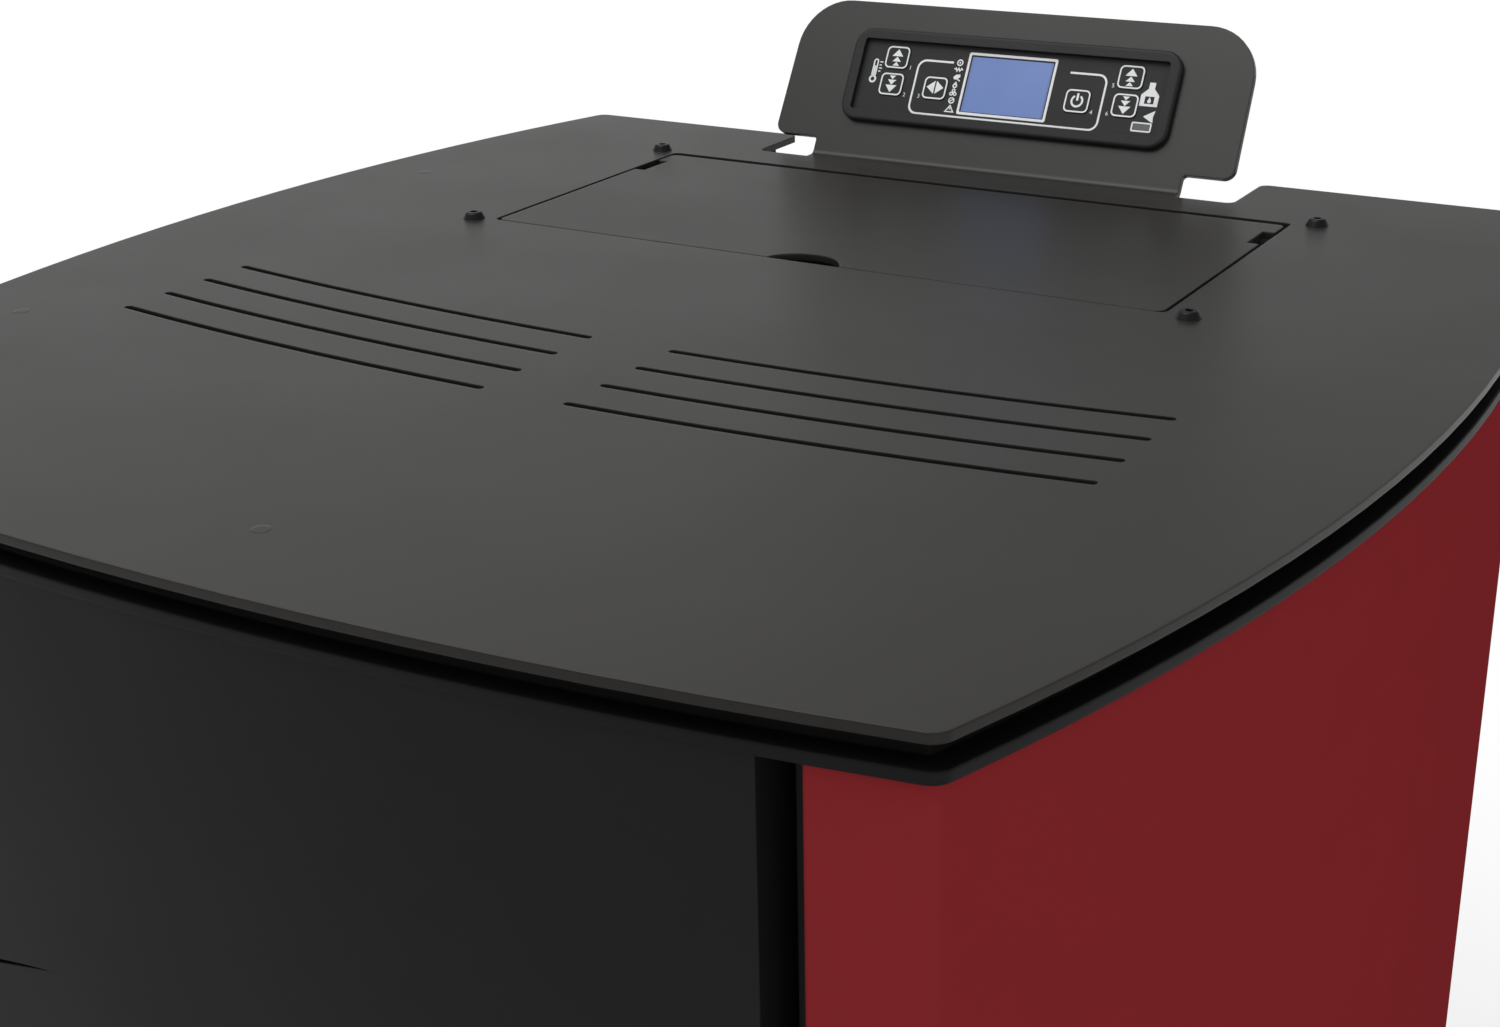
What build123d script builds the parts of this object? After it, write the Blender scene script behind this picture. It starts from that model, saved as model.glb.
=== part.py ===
from build123d import *
from math import asin, cos, degrees, radians, sin, sqrt
import os

os.makedirs("parts", exist_ok=True)

# Pellet stove with a bowed front, bowed side panels and a pellet hopper behind the fire.
# X runs to the right, Y to the back and Z up. The floor is Z = 0. All sizes are in mm.

# --- Plan shape, seen from above ---
front_y = -302.3
back_y = 249.0
front_bow_r = 1282.0
side_bow_r = 864.0
half_width = 271.2
widest_y = -2.7
front_corner_r = 7.0
back_corner_r = 5.0

# --- Main heights ---
top_z = 1020.0
base_z = 42.0
skirt_z = 34.0
deck_z = 300.0
drawer_top_z = 372.0
door_top_z = 812.0
firebox_top_z = 902.0

# --- Sheet thicknesses and clearances ---
plate_t = 3.0
sheet_t = 1.5
panel_inset = 2.0
skin_clear = 0.3
panel_gap = 4.0
fit_clear = 0.3
pivot_clear = 0.05
trim_clear = 0.2
weld_gap = 0.05
match_tol = 0.01

# --- Top plate, its rim and the vents ---
rim_gap = 7.0
rim_t = 3.5
spacer_inset = 8.0
spacer_w = 10.0
rim_open_half = 185.0
rim_open_front_y = -250.0
rim_open_back_y = 205.0
notch_half = 117.5
notch_y = 211.2
notch_r = 4.0
vent_bow_r = 1338.0
vent_first_y = -73.1
vent_pitch = 20.8
vent_rows = 4
vent_inner_x = 18.0
vent_outer_x = 193.5
vent_w = 3.2

# --- Display bracket, bent up from the top plate ---
bend_y = 216.9
bracket_lean = 29.4
bracket_bend_r = 3.0
neck_half = 91.0
neck_v = 8.5
neck_r = 2.0
bracket_top_v = 76.0
bracket_low_half = 113.7
bracket_top_half = 112.2
bracket_low_r = 5.0
bracket_top_r = 24.0

# --- Display module, in the plane of the bracket ---
display_v = 40.1
bezel_half = 81.0
bezel_h = 45.0
bezel_rise = 3.5
bezel_corner_r = 9.0
bezel_edge_r = 1.6
bezel_skirt = 9.0
bezel_wall = 1.5
cutout_half = 78.5
cutout_h = 40.4
cutout_r = 3.0
window_half = 75.5
window_h = 34.4
window_r = 1.5
film_face = 1.0
film_t = 1.8
key_w = 12.4
key_h = 11.2
key_r = 2.4
key_rise = 0.5
key_travel = 0.4
key_flange = 0.7
key_flange_t = 0.6
pad_x = 58.0
menu_x = 35.3
key_low_v = 36.6
key_high_v = 49.6
lcd_half = 20.4
lcd_h = 26.5
lcd_case_half = 23.0
lcd_case_h = 31.0
board_face = -3.0
board_t = 1.6
board_half = 75.0
board_h = 33.0
switch_side = 6.0
cover_half = 82.0
cover_h = 48.0
cover_depth = 13.0
cover_wall = 1.6
cover_r = 4.0
boss_x = 70.0
boss_v = 13.0
boss_r = 2.5

# --- Hopper lid and its hinge ---
lid_lap = 3.0
lid_front_y = 48.2
lid_back_y = 185.3
lid_r = 3.0
lid_side_gap = 1.7
lid_front_gap = 1.0
lid_back_gap = 4.3
finger_half = 16.3
finger_deep = 11.5
hinge_y = 162.5
hinge_drop = 12.0
hinge_slot_w = 5.0
hinge_slot_l = 20.0
ear_t = 3.0
ear_w = 16.0
lid_pin_r = 2.5
lid_shoulder_r = 4.5
hinge_block_w = 17.0
hinge_block_h = 13.0
hinge_block_t = 4.5

# --- Screws ---
screw_head_r = 4.75
screw_head_h = 2.75
screw_head_taper = 25.0
screw_shank_r = 2.3
screw_hole_r = 2.5
screw_socket = 3.0
screw_l = 10.0
top_screw_out = 8.0
top_screw_ys = (45.5, 192.4)
rear_screw_out = 12.0
rear_screw_zs = (120.0, 380.0, 640.0, 900.0)

# --- Front: panels, side gaps and decorative slots ---
front_half = 179.0
side_gap = 12.0
accent_in = (-70.5, -149.6)
accent_out = (-160.0, -175.0)
accent_sag = 3.2
accent_w = 1.8

# --- Chassis ---
chassis_x = 195.0
chassis_front_y = -272.0
chassis_back_y = 240.0
chassis_front_x = 181.0
chassis_rear_x = 180.0
rear_lap = 24.0
side_back_y = 243.0

chassis_window_y = -15.0
chassis_window_w = 300.0
chassis_window_h = 170.0
chassis_window_r = 20.0
chassis_window_zs = (470.0, 700.0)
deck_flange_h = 30.0
air_slot_x = 110.0
air_slot_y = 100.0
air_slot_l = 110.0
air_slot_w = 6.0
air_slot_pitch = 14.0
air_slot_count = 6
louvre_x = 90.0
louvre_z = 700.0
louvre_l = 90.0
louvre_w = 7.0
louvre_pitch = 18.0
louvre_count = 8

# --- Levelling feet ---
foot_x = 175.0
foot_front_y = -225.0
foot_rear_y = 200.0
foot_pad_r = 24.0
foot_pad_h = 14.0
foot_stud_r = 5.0
foot_stud_top = 74.0
weld_nut_r = 9.0
weld_nut_h = 9.0

# --- Firebox ---
firebox_half = 168.0
firebox_front_y = -258.0
firebox_back_y = 0.0
firebox_t = 3.0
fire_floor_z = 378.0
mouth_half = 140.0
mouth_low_z = 402.0
mouth_high_z = 790.0
mouth_r = 12.0
tube_r = 22.0
tube_wall = 2.0
tube_z = 852.0
tube_pitch = 62.0
tube_count = 5
ash_slot_half_w = 30.0
ash_slot_x = 110.0
ash_slot_l = 150.0
ash_slot_y = -150.0

# --- Lining, baffle and burn pot ---
side_board_t = 15.0
back_board_t = 30.0
board_top_z = 806.0
board_seam_z = 470.0
groove_w = 3.0
groove_deep = 2.0
brick_h = 62.0
brick_w = 106.0
baffle_t = 6.0
baffle_half = 158.0
baffle_gap = 40.0
pot_y = -108.5
holder_half_w = 64.0
holder_half_d = 56.5
holder_top_z = 470.0
holder_t = 2.5
pot_half_w = 55.0
pot_half_d = 47.5
pot_taper = 8.0
pot_deep = 62.0
pot_wall = 5.0
pot_flange = 8.0
pot_flange_t = 5.0
pot_hole_r = 2.5
pot_hole_cols = 5
pot_hole_rows = 4
pot_hole_pitch = 15.0

# --- Fire door ---
door_skin_t = 3.0
door_back_y = -262.0
pane_half = 125.0
pane_low_z = 430.0
pane_high_z = 766.0
pane_r = 14.0
glass_t = 4.0
glass_lap = 9.0
inner_frame_t = 3.0
inner_rim_t = 3.0
gasket_half = 154.0
gasket_w = 10.0
gasket_low_z = 386.0
gasket_high_z = 804.0
gasket_r = 14.0
door_pin_y = -284.0
door_pin_r = 3.0
door_lug_r = 5.0
door_lug_h = 12.0
door_lug_low_z = 420.0
door_lug_high_z = 760.0
hinge_arm_h = 10.0

# --- Door handle, in the right-hand gap ---
handle_w = 8.0
handle_low_z = 524.0
handle_high_z = 690.0
handle_front_y = -287.5
handle_back_y = -273.5
handle_pivot_y = -283.5
handle_pivot_z = 530.0
handle_pin_r = 2.5

# --- Ash drawer ---
drawer_half = 150.0
drawer_back_y = -30.0
drawer_front_y = -266.0
drawer_h = 58.0
drawer_t = 1.5
drawer_mouth_half = 155.0
drawer_grip_half = 60.0
drawer_grip_h = 14.0

# --- Hopper ---
hopper_t = 1.5
hopper_half = 152.0
hopper_front_y = 47.0
hopper_back_y = 190.5
hopper_ledge = 6.0
hopper_flange = 20.0
hopper_flange_front_y = 33.0
hopper_flange_back_y = 205.0
hopper_straight_z = 760.0
throat_z = 592.0
throat_half = 26.0
throat_y = 150.0
throat_half_d = 27.0
throat_flange = 14.0
grid_z = 950.0
grid_bar = 3.0
grid_pitch = 23.0

# --- Auger ---
auger_y = 175.0
auger_z = 480.0
auger_lean = 45.0
auger_l = 205.0
auger_tube_r = 30.0
auger_tube_t = 3.0
auger_shaft_r = 8.0
auger_flight_r = 25.0
auger_flight_t = 2.5
auger_pitch = 40.0
auger_turns = 4.5
auger_start = 10.0
auger_tail = 22.0
chute_at = 170.0
chute_r = 25.0
chute_wall = 2.0
chute_l = 124.0
gearbox_t = 32.0
gearbox_h = 56.0
gearbox_left = 32.0
gearbox_right = 92.0
gear_can_r = 26.0
gear_can_l = 55.0
gear_can_x = 64.0

# --- Exhaust fan and flue ---
scroll_x = -88.0
scroll_z = 430.0
scroll_r = 72.0
scroll_step = 5.0
scroll_depth = 50.0
scroll_t = 3.0
scroll_throat = 52.0
scroll_foot_z = 302.0
port_r = 33.0
impeller_r = 65.0
impeller_hub_r = 9.0
impeller_blades = 8
impeller_w = 26.0
impeller_plate_t = 2.0
impeller_shaft_r = 4.0
exhaust_can_r = 38.0
exhaust_can_l = 62.0
flue_x = -138.0
flue_z = 185.0
flue_r = 40.0
flue_wall = 2.0
flue_swage = 1.0
flue_neck = 3.0
flue_end_y = 302.3
flue_box_half = 41.0
flue_box_depth = 84.0
flue_box_low_z = 142.0

# --- Air intake and igniter ---
intake_x = 25.0
intake_z = 408.0
intake_r = 25.0
intake_wall = 2.0
intake_swage = 1.0
intake_neck = 3.0
intake_end_y = 275.0
igniter_x = -5.0
igniter_z = 452.0
igniter_r = 5.0
igniter_flange_r = 9.0
igniter_flange_t = 4.0
igniter_tip_y = -59.0
igniter_tail_y = 88.0

# --- Room fan ---
fan_left_x = 48.0
fan_right_x = 172.0
fan_z = 94.0
fan_impeller_r = 30.0
fan_blades = 20
fan_blade_w = 8.0
fan_blade_t = 1.0
fan_blade_pitch = 25.0
fan_disc_t = 2.0
fan_shaft_r = 4.0
fan_wall = 2.0
fan_swirl_r = 38.0
fan_duct_y = 38.0
fan_can_r = 26.0
fan_can_l = 36.0
fan_inlet = 18.0
fan_foot_half = 28.0
fan_end_clear = 2.0
fan_bearing = 8.0

# --- Electrics ---
board_y = 165.0
board_z = 425.0
board_tray = (110.0, 190.0)
board_tray_deep = 22.0
board_tray_t = 2.0
relay_w = 18.0
relay_h = 20.0
relay_rise = 14.0
relay_pitch = 24.0
relay_count = 4
inlet_x = 150.0
inlet_z = 110.0
inlet_w = 50.0
inlet_h = 74.0
inlet_deep = 34.0
inlet_flange = 4.0
inlet_rise = 3.0
socket_w = 24.0
socket_h = 18.0
socket_deep = 17.0
socket_shape = ((-0.5, -0.5), (0.5, -0.5), (0.5, 0.2), (0.28, 0.5), (-0.28, 0.5), (-0.5, 0.2))
socket_pin_t = 2.0
socket_pin_w = 4.0
socket_pin_l = 14.0
socket_pin_pitch = 14.0
rocker_w = 20.0
rocker_h = 13.0
rocker_tip = 7.0
rocker_side = 1.0
rocker_deep = 4.0
rocker_rise = 5.5
rocker_dip = 1.2
reset_x = 150.0
reset_z = 200.0
reset_r = 7.0
reset_button_r = 3.0
reset_travel = 2.0
reset_body = 26.0
reset_body_deep = 22.0
reset_nose = 9.0
reset_nut_r = 10.0
reset_nut_h = 3.0
reset_bore = 8.0
reset_rise = 3.0

# --- Values that follow from the sizes above ---
plate_z = top_z - plate_t
fan_y = fan_swirl_r + fan_wall
rim_top_z = plate_z - rim_gap
body_top_z = rim_top_z - rim_t
panel_back_y = chassis_back_y + sheet_t
base_top_z = base_z + plate_t
bow_y = front_y + front_bow_r
lean_sin = sin(radians(bracket_lean))
lean_cos = cos(radians(bracket_lean))
hinge_z = top_z - hinge_drop
lid_half = hopper_half - lid_lap
hopper_flange_half = hopper_half + hopper_flange
top_screw_x = hopper_half + top_screw_out
side_return_x = front_half + side_gap
rear_screw_x = side_return_x + rear_screw_out
rear_half = side_return_x + rear_lap
handle_x = front_half + side_gap / 2
door_pin_x = -handle_x
panel_plane = Plane(origin=(0, bend_y, top_z), x_dir=(1, 0, 0), z_dir=(0, -lean_cos, lean_sin))
auger_sin = sin(radians(auger_lean))
auger_cos = cos(radians(auger_lean))
auger_plane = Plane(origin=(0, auger_y, auger_z), x_dir=(1, 0, 0), z_dir=(0, -auger_cos, auger_sin))
chute_y = auger_y - chute_at * auger_cos
chute_z = auger_z + chute_at * auger_sin
chute_plane = Plane(origin=(0, chute_y, chute_z), x_dir=(1, 0, 0), z_dir=(0, -auger_sin, -auger_cos))
key_places = (
    (-pad_x, key_high_v),
    (-pad_x, key_low_v),
    (-menu_x, key_low_v),
    (menu_x, key_low_v),
    (pad_x, key_high_v),
    (pad_x, key_low_v),
)
foot_places = {
    "foot_front_left": (-foot_x, foot_front_y),
    "foot_front_right": (foot_x, foot_front_y),
    "foot_rear_left": (-foot_x, foot_rear_y),
    "foot_rear_right": (foot_x, foot_rear_y),
}


def span(x0, x1, y0, y1, mode=Mode.ADD):
    """Rectangle in a sketch, given by its four sides."""
    with Locations(((x0 + x1) / 2, (y0 + y1) / 2)):
        Rectangle(x1 - x0, y1 - y0, mode=mode)


def plan_outline(inset, back=None):
    """Plan shape of the stove drawn in by inset, with its straight back at back."""
    back = back_y - inset if back is None else back
    with BuildSketch() as plan:
        with Locations((0, bow_y)):
            Circle(front_bow_r - inset)
        for side in (-1, 1):
            with Locations((side * (half_width - side_bow_r), widest_y)):
                Circle(side_bow_r - inset, mode=Mode.INTERSECT)
        with Locations((0, back)):
            square = 2 * (back_y - front_y)
            Rectangle(square, square, align=(Align.CENTER, Align.MAX), mode=Mode.INTERSECT)
        fillet(plan.vertices().group_by(Axis.Y)[0], max(front_corner_r - inset, sheet_t))
        fillet(plan.vertices().group_by(Axis.Y)[-1], max(back_corner_r - inset, sheet_t))
    return plan.sketch


def bow_region(inset, half, back):
    """Plan area behind the bowed front, drawn in by inset, half wide each way, up to back."""
    with BuildSketch() as region:
        with Locations((0, bow_y)):
            Circle(front_bow_r - inset)
        with Locations((0, back)):
            Rectangle(2 * half, back - 2 * front_y, align=(Align.CENTER, Align.MAX), mode=Mode.INTERSECT)
    return region.sketch


def bow_front_y(x, inset):
    """Y of the bowed front at x, drawn in by inset."""
    return bow_y - sqrt((front_bow_r - inset) ** 2 - x**2)


# --- Top plate: flat blank with lid opening, vents and the bent-up display bracket ---
def notched_blank(inset):
    """Plan blank with the relief notch behind the bracket's bend."""
    with BuildSketch() as blank:
        add(plan_outline(inset))
        with Locations((0, notch_y)):
            Rectangle(2 * notch_half, back_y, align=(Align.CENTER, Align.MIN), mode=Mode.SUBTRACT)
        fillet(blank.vertices().filter_by(lambda v: abs(abs(v.X) - notch_half) < match_tol), notch_r)
    return blank.sketch


lid_open_half = lid_half + lid_side_gap
lid_open_front_y = lid_front_y - lid_front_gap
lid_open_back_y = lid_back_y + lid_back_gap
inner_end = (bend_y + neck_v * lean_sin, top_z + neck_v * lean_cos)
outer_end = (inner_end[0] + plate_t * lean_cos, inner_end[1] - plate_t * lean_sin)
outer_corner_y = bend_y + plate_t * (1 - lean_sin) / lean_cos

with BuildPart() as top_plate:
    with BuildSketch(Plane.XY.offset(plate_z)):
        add(notched_blank(0))
        with Locations((0, (lid_open_front_y + lid_open_back_y) / 2)):
            RectangleRounded(2 * lid_open_half, lid_open_back_y - lid_open_front_y, lid_r, mode=Mode.SUBTRACT)
        for row in range(vent_rows):
            vent_centre = (0, vent_first_y - row * vent_pitch + vent_bow_r)
            inner_angle = degrees(asin(vent_inner_x / vent_bow_r))
            outer_angle = degrees(asin(vent_outer_x / vent_bow_r))
            for start in (-90 + inner_angle, -90 - outer_angle):
                vent = CenterArc(vent_centre, vent_bow_r, start, outer_angle - inner_angle, mode=Mode.PRIVATE)
                SlotArc(vent, vent_w, mode=Mode.SUBTRACT)
        for x in (-top_screw_x, top_screw_x):
            with Locations(*((x, y) for y in top_screw_ys)):
                Circle(screw_hole_r, mode=Mode.SUBTRACT)
    extrude(amount=plate_t)
    with BuildSketch(Plane.YZ):
        with BuildLine():
            inner = FilletPolyline((notch_y, top_z), (bend_y, top_z), inner_end, radius=bracket_bend_r)
            outer = FilletPolyline(
                (notch_y, plate_z),
                (outer_corner_y, plate_z),
                outer_end,
                radius=bracket_bend_r + plate_t,
            )
            Line(inner @ 0, outer @ 0)
            Line(inner @ 1, outer @ 1)
        make_face()
    extrude(amount=neck_half, both=True)
    with BuildSketch(panel_plane) as bracket:
        with BuildLine():
            Polyline(
                (-bracket_low_half, neck_v),
                (bracket_low_half, neck_v),
                (bracket_top_half, bracket_top_v),
                (-bracket_top_half, bracket_top_v),
                close=True,
            )
        make_face()
        span(-neck_half, neck_half, neck_v - neck_r, neck_v)
        neck_corners = bracket.vertices().filter_by(lambda v: abs(abs(v.X) - neck_half) < match_tol)
        fillet(neck_corners.group_by(Axis.Y)[-1], neck_r)
        fillet(bracket.vertices().group_by(Axis.Y)[-1], bracket_top_r)
        low_corners = bracket.vertices().filter_by(lambda v: abs(abs(v.X) - bracket_low_half) < match_tol)
        fillet(low_corners, bracket_low_r)
        with Locations((0, display_v)):
            RectangleRounded(2 * cutout_half, cutout_h, cutout_r, mode=Mode.SUBTRACT)
    extrude(amount=-plate_t)
top_plate.part.label = "top_plate"
export_step(top_plate.part, "parts/top_plate.step")

# --- Rim plate: thin lip under the top, with the recessed spacer that carries the top ---
with BuildPart() as rim_plate:
    with BuildSketch(Plane.XY.offset(body_top_z)):
        add(notched_blank(0))
        span(-rim_open_half, rim_open_half, rim_open_front_y, rim_open_back_y, mode=Mode.SUBTRACT)
    extrude(amount=rim_t)
    with BuildSketch(Plane.XY.offset(rim_top_z)):
        add(plan_outline(spacer_inset))
        add(plan_outline(spacer_inset + spacer_w), mode=Mode.SUBTRACT)
        with Locations((0, notch_y)):
            Rectangle(
                2 * (notch_half + spacer_inset),
                back_y,
                align=(Align.CENTER, Align.MIN),
                mode=Mode.SUBTRACT,
            )
    extrude(amount=rim_gap)
rim_plate.part.label = "rim_plate"
export_step(rim_plate.part, "parts/rim_plate.step")

# --- Hopper lid: flap with a finger notch, and ears bent down inside its hinge slots ---
finger_r = (finger_half**2 + finger_deep**2) / (2 * finger_deep)
ear_x = lid_half - hinge_slot_w - ear_t

with BuildPart() as hopper_lid:
    with BuildSketch(Plane.XY.offset(plate_z)):
        with Locations((0, (lid_front_y + lid_back_y) / 2)):
            RectangleRounded(2 * lid_half, lid_back_y - lid_front_y, lid_r)
        with Locations((0, lid_front_y + finger_deep - finger_r)):
            Circle(finger_r, mode=Mode.SUBTRACT)
        with Locations((-lid_half, hinge_y), (lid_half, hinge_y)):
            Rectangle(2 * hinge_slot_w, hinge_slot_l, mode=Mode.SUBTRACT)
    extrude(amount=plate_t)
    for side in (-1, 1):
        with BuildSketch(Plane.YZ.offset(side * ear_x)):
            span(hinge_y - ear_w / 2, hinge_y + ear_w / 2, hinge_z, plate_z)
            with Locations((hinge_y, hinge_z)):
                Circle(ear_w / 2)
                Circle(lid_pin_r + pivot_clear, mode=Mode.SUBTRACT)
        extrude(amount=side * ear_t)
hopper_lid.part.label = "hopper_lid"
export_step(hopper_lid.part, "parts/hopper_lid.step")

# --- Lid hinges: a block on each hopper wall, with a shouldered pin through the lid's ear ---
with BuildPart() as lid_hinges:
    for side in (-1, 1):
        with BuildSketch(Plane.YZ.offset(side * hopper_half)):
            with Locations((hinge_y, hinge_z - hinge_block_h / 2 + lid_shoulder_r)):
                RectangleRounded(hinge_block_w, hinge_block_h, lid_shoulder_r - trim_clear)
        extrude(amount=-side * hinge_block_t)
        with BuildSketch(Plane.YZ.offset(side * (hopper_half - hinge_block_t))):
            with Locations((hinge_y, hinge_z)):
                Circle(lid_shoulder_r)
        extrude(amount=-side * (hopper_half - hinge_block_t - ear_x - ear_t - fit_clear))
        with BuildSketch(Plane.YZ.offset(side * (hopper_half - hinge_block_t))):
            with Locations((hinge_y, hinge_z)):
                Circle(lid_pin_r)
        extrude(amount=-side * (hopper_half - hinge_block_t - ear_x + fit_clear))
lid_hinges.part.label = "lid_hinges"
export_step(lid_hinges.part, "parts/lid_hinges.step")

# --- Cover screws: button heads with a hexagon socket, four on the top and eight on the back ---
top_seats = [Plane(origin=(x, y, top_z)) for x in (-top_screw_x, top_screw_x) for y in top_screw_ys]
rear_seats = [
    Plane(origin=(x, side_back_y, z), x_dir=(1, 0, 0), z_dir=(0, 1, 0))
    for x in (-rear_screw_x, rear_screw_x)
    for z in rear_screw_zs
]

with BuildPart() as cover_screws:
    for seat in top_seats + rear_seats:
        with BuildSketch(seat):
            Circle(screw_head_r)
        extrude(amount=screw_head_h, taper=screw_head_taper)
        rim = cover_screws.edges(Select.LAST).filter_by(GeomType.CIRCLE).sort_by(SortBy.RADIUS)[0]
        fillet(rim, screw_head_r / 4)
        with BuildSketch(seat):
            Circle(screw_shank_r)
        extrude(amount=-screw_l)
        with BuildSketch(seat.offset(screw_head_h)):
            RegularPolygon(screw_socket / 2, 6, major_radius=False)
        extrude(amount=-screw_head_h / 2, mode=Mode.SUBTRACT)
cover_screws.part.label = "cover_screws"
export_step(cover_screws.part, "parts/cover_screws.step")

# --- Display bezel: raised frame with a skirt through the bracket, open at the window ---
with BuildPart() as display_bezel:
    with BuildSketch(panel_plane):
        with Locations((0, display_v)):
            RectangleRounded(2 * bezel_half, bezel_h, bezel_corner_r)
    extrude(amount=bezel_rise)
    fillet(display_bezel.faces().filter_by(panel_plane).sort_by(Axis.Y)[0].edges(), bezel_edge_r)
    with BuildSketch(panel_plane):
        with Locations((0, display_v)):
            RectangleRounded(
                2 * (cutout_half - fit_clear),
                cutout_h - 2 * fit_clear,
                cutout_r,
            )
    extrude(amount=-bezel_skirt)
    with BuildSketch(panel_plane.offset(bezel_rise)):
        with Locations((0, display_v)):
            RectangleRounded(2 * window_half, window_h, window_r)
    extrude(amount=-(bezel_rise + bezel_skirt), mode=Mode.SUBTRACT)
    with BuildSketch(panel_plane.offset(film_face)):
        with Locations((0, display_v)):
            RectangleRounded(
                2 * (cutout_half - fit_clear - bezel_wall),
                cutout_h - 2 * (fit_clear + bezel_wall),
                window_r,
            )
    extrude(amount=-(film_face + bezel_skirt), mode=Mode.SUBTRACT)
display_bezel.part.label = "display_bezel"
export_step(display_bezel.part, "parts/display_bezel.step")

# --- Display film: front sheet seated behind the bezel's edge, with key and screen windows ---
film_half = cutout_half - bezel_wall - 2 * fit_clear
film_h = cutout_h - 2 * bezel_wall - 4 * fit_clear

with BuildPart() as display_film:
    with BuildSketch(panel_plane.offset(film_face)):
        with Locations((0, display_v)):
            RectangleRounded(2 * film_half, film_h, window_r)
            Rectangle(2 * lcd_half, lcd_h, mode=Mode.SUBTRACT)
        with Locations(*key_places):
            RectangleRounded(key_w, key_h, key_r, mode=Mode.SUBTRACT)
    extrude(amount=-film_t)
display_film.part.label = "display_film"
export_step(display_film.part, "parts/display_film.step")

# --- Keys: rounded caps through the film, each held behind it by a flange ---
film_back = film_face - film_t

for number, place in enumerate(key_places, start=1):
    with BuildPart() as key:
        with BuildSketch(panel_plane.offset(film_back)):
            with Locations(place):
                RectangleRounded(key_w - 2 * trim_clear, key_h - 2 * trim_clear, key_r - trim_clear)
        extrude(amount=film_t + key_rise)
        with BuildSketch(panel_plane.offset(film_back)):
            with Locations(place):
                Rectangle(key_w + 2 * key_flange, key_h + 2 * key_flange)
        extrude(amount=-key_flange_t)
    key.part.label = f"key_{number}"
    export_step(key.part, f"parts/key_{number}.step")

# --- Display screen: module on the board whose glass fills the film's window ---
with BuildPart() as display_lcd:
    with BuildSketch(panel_plane.offset(board_face)):
        with Locations((0, display_v)):
            Rectangle(2 * lcd_case_half, lcd_case_h)
    extrude(amount=film_back - board_face)
    with BuildSketch(panel_plane.offset(film_back)):
        with Locations((0, display_v)):
            Rectangle(2 * (lcd_half - trim_clear), lcd_h - 2 * trim_clear)
    extrude(amount=film_t - trim_clear)
display_lcd.part.label = "display_lcd"
export_step(display_lcd.part, "parts/display_lcd.step")

# --- Display board: circuit board with a key switch behind each key and a rear connector ---
switch_h = film_back - key_flange_t - key_travel - trim_clear - board_face

with BuildPart() as display_board:
    with BuildSketch(panel_plane.offset(board_face)):
        with Locations((0, display_v)):
            Rectangle(2 * board_half, board_h)
    extrude(amount=-board_t)
    with BuildSketch(panel_plane.offset(board_face)):
        with Locations(*key_places):
            Rectangle(switch_side, switch_side)
    extrude(amount=switch_h)
    with BuildSketch(panel_plane.offset(board_face - board_t)):
        with Locations((0, display_v)):
            Rectangle(4 * switch_side, switch_side)
    extrude(amount=-switch_side)
display_board.part.label = "display_board"
export_step(display_board.part, "parts/display_board.step")

# --- Display cover: box behind the bracket, with four bosses that hold the board ---
with BuildPart() as display_cover:
    with BuildSketch(panel_plane.offset(-plate_t)):
        with Locations((0, display_v)):
            RectangleRounded(2 * cover_half, cover_h, cover_r)
    extrude(amount=-cover_depth)
    fillet(display_cover.faces().filter_by(panel_plane).sort_by(Axis.Y)[-1].edges(), cover_wall)
    with BuildSketch(panel_plane.offset(-plate_t)):
        with Locations((0, display_v)):
            RectangleRounded(2 * (cover_half - cover_wall), cover_h - 2 * cover_wall, cover_r - cover_wall)
    extrude(amount=cover_wall - cover_depth, mode=Mode.SUBTRACT)
    with BuildSketch(panel_plane.offset(board_face - board_t)):
        with Locations((0, display_v)):
            with GridLocations(2 * boss_x, 2 * boss_v, 2, 2):
                Circle(boss_r)
    extrude(amount=-(cover_depth - cover_wall + plate_t + board_face - board_t))
display_cover.part.label = "display_cover"
export_step(display_cover.part, "parts/display_cover.step")

# --- Side panels: bowed sheets bent round the front corner and folded in at the back ---
side_inner = panel_inset + sheet_t
fold_y = bow_front_y(side_return_x, panel_inset + sheet_t / 2)

for side, name in ((-1, "side_panel_left"), (1, "side_panel_right")):
    with BuildPart() as side_panel:
        with BuildSketch(Plane.XY.offset(skirt_z)):
            add(plan_outline(panel_inset, side_back_y))
            add(plan_outline(side_inner, side_back_y - sheet_t), mode=Mode.SUBTRACT)
            near, far = sorted((side * side_return_x, side * 2 * half_width))
            span(near, far, 2 * front_y, 2 * back_y, mode=Mode.INTERSECT)
        extrude(amount=body_top_z - skirt_z)
        with BuildSketch(Plane.XY.offset(base_top_z)):
            near, far = sorted((side * side_return_x, side * (side_return_x + sheet_t)))
            span(near, far, fold_y, chassis_front_y)
        extrude(amount=body_top_z - base_top_z)
        for z in rear_screw_zs:
            with BuildSketch(Plane.XZ.offset(-side_back_y)):
                with Locations((side * rear_screw_x, z)):
                    Circle(screw_hole_r)
            extrude(amount=sheet_t, mode=Mode.SUBTRACT)
    side_panel.part.label = name
    export_step(side_panel.part, f"parts/{name}.step")

# --- Upper front panel: bowed skin with folded sides and foot, and two tapered accent slots ---
upper_low_z = door_top_z + panel_gap

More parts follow.
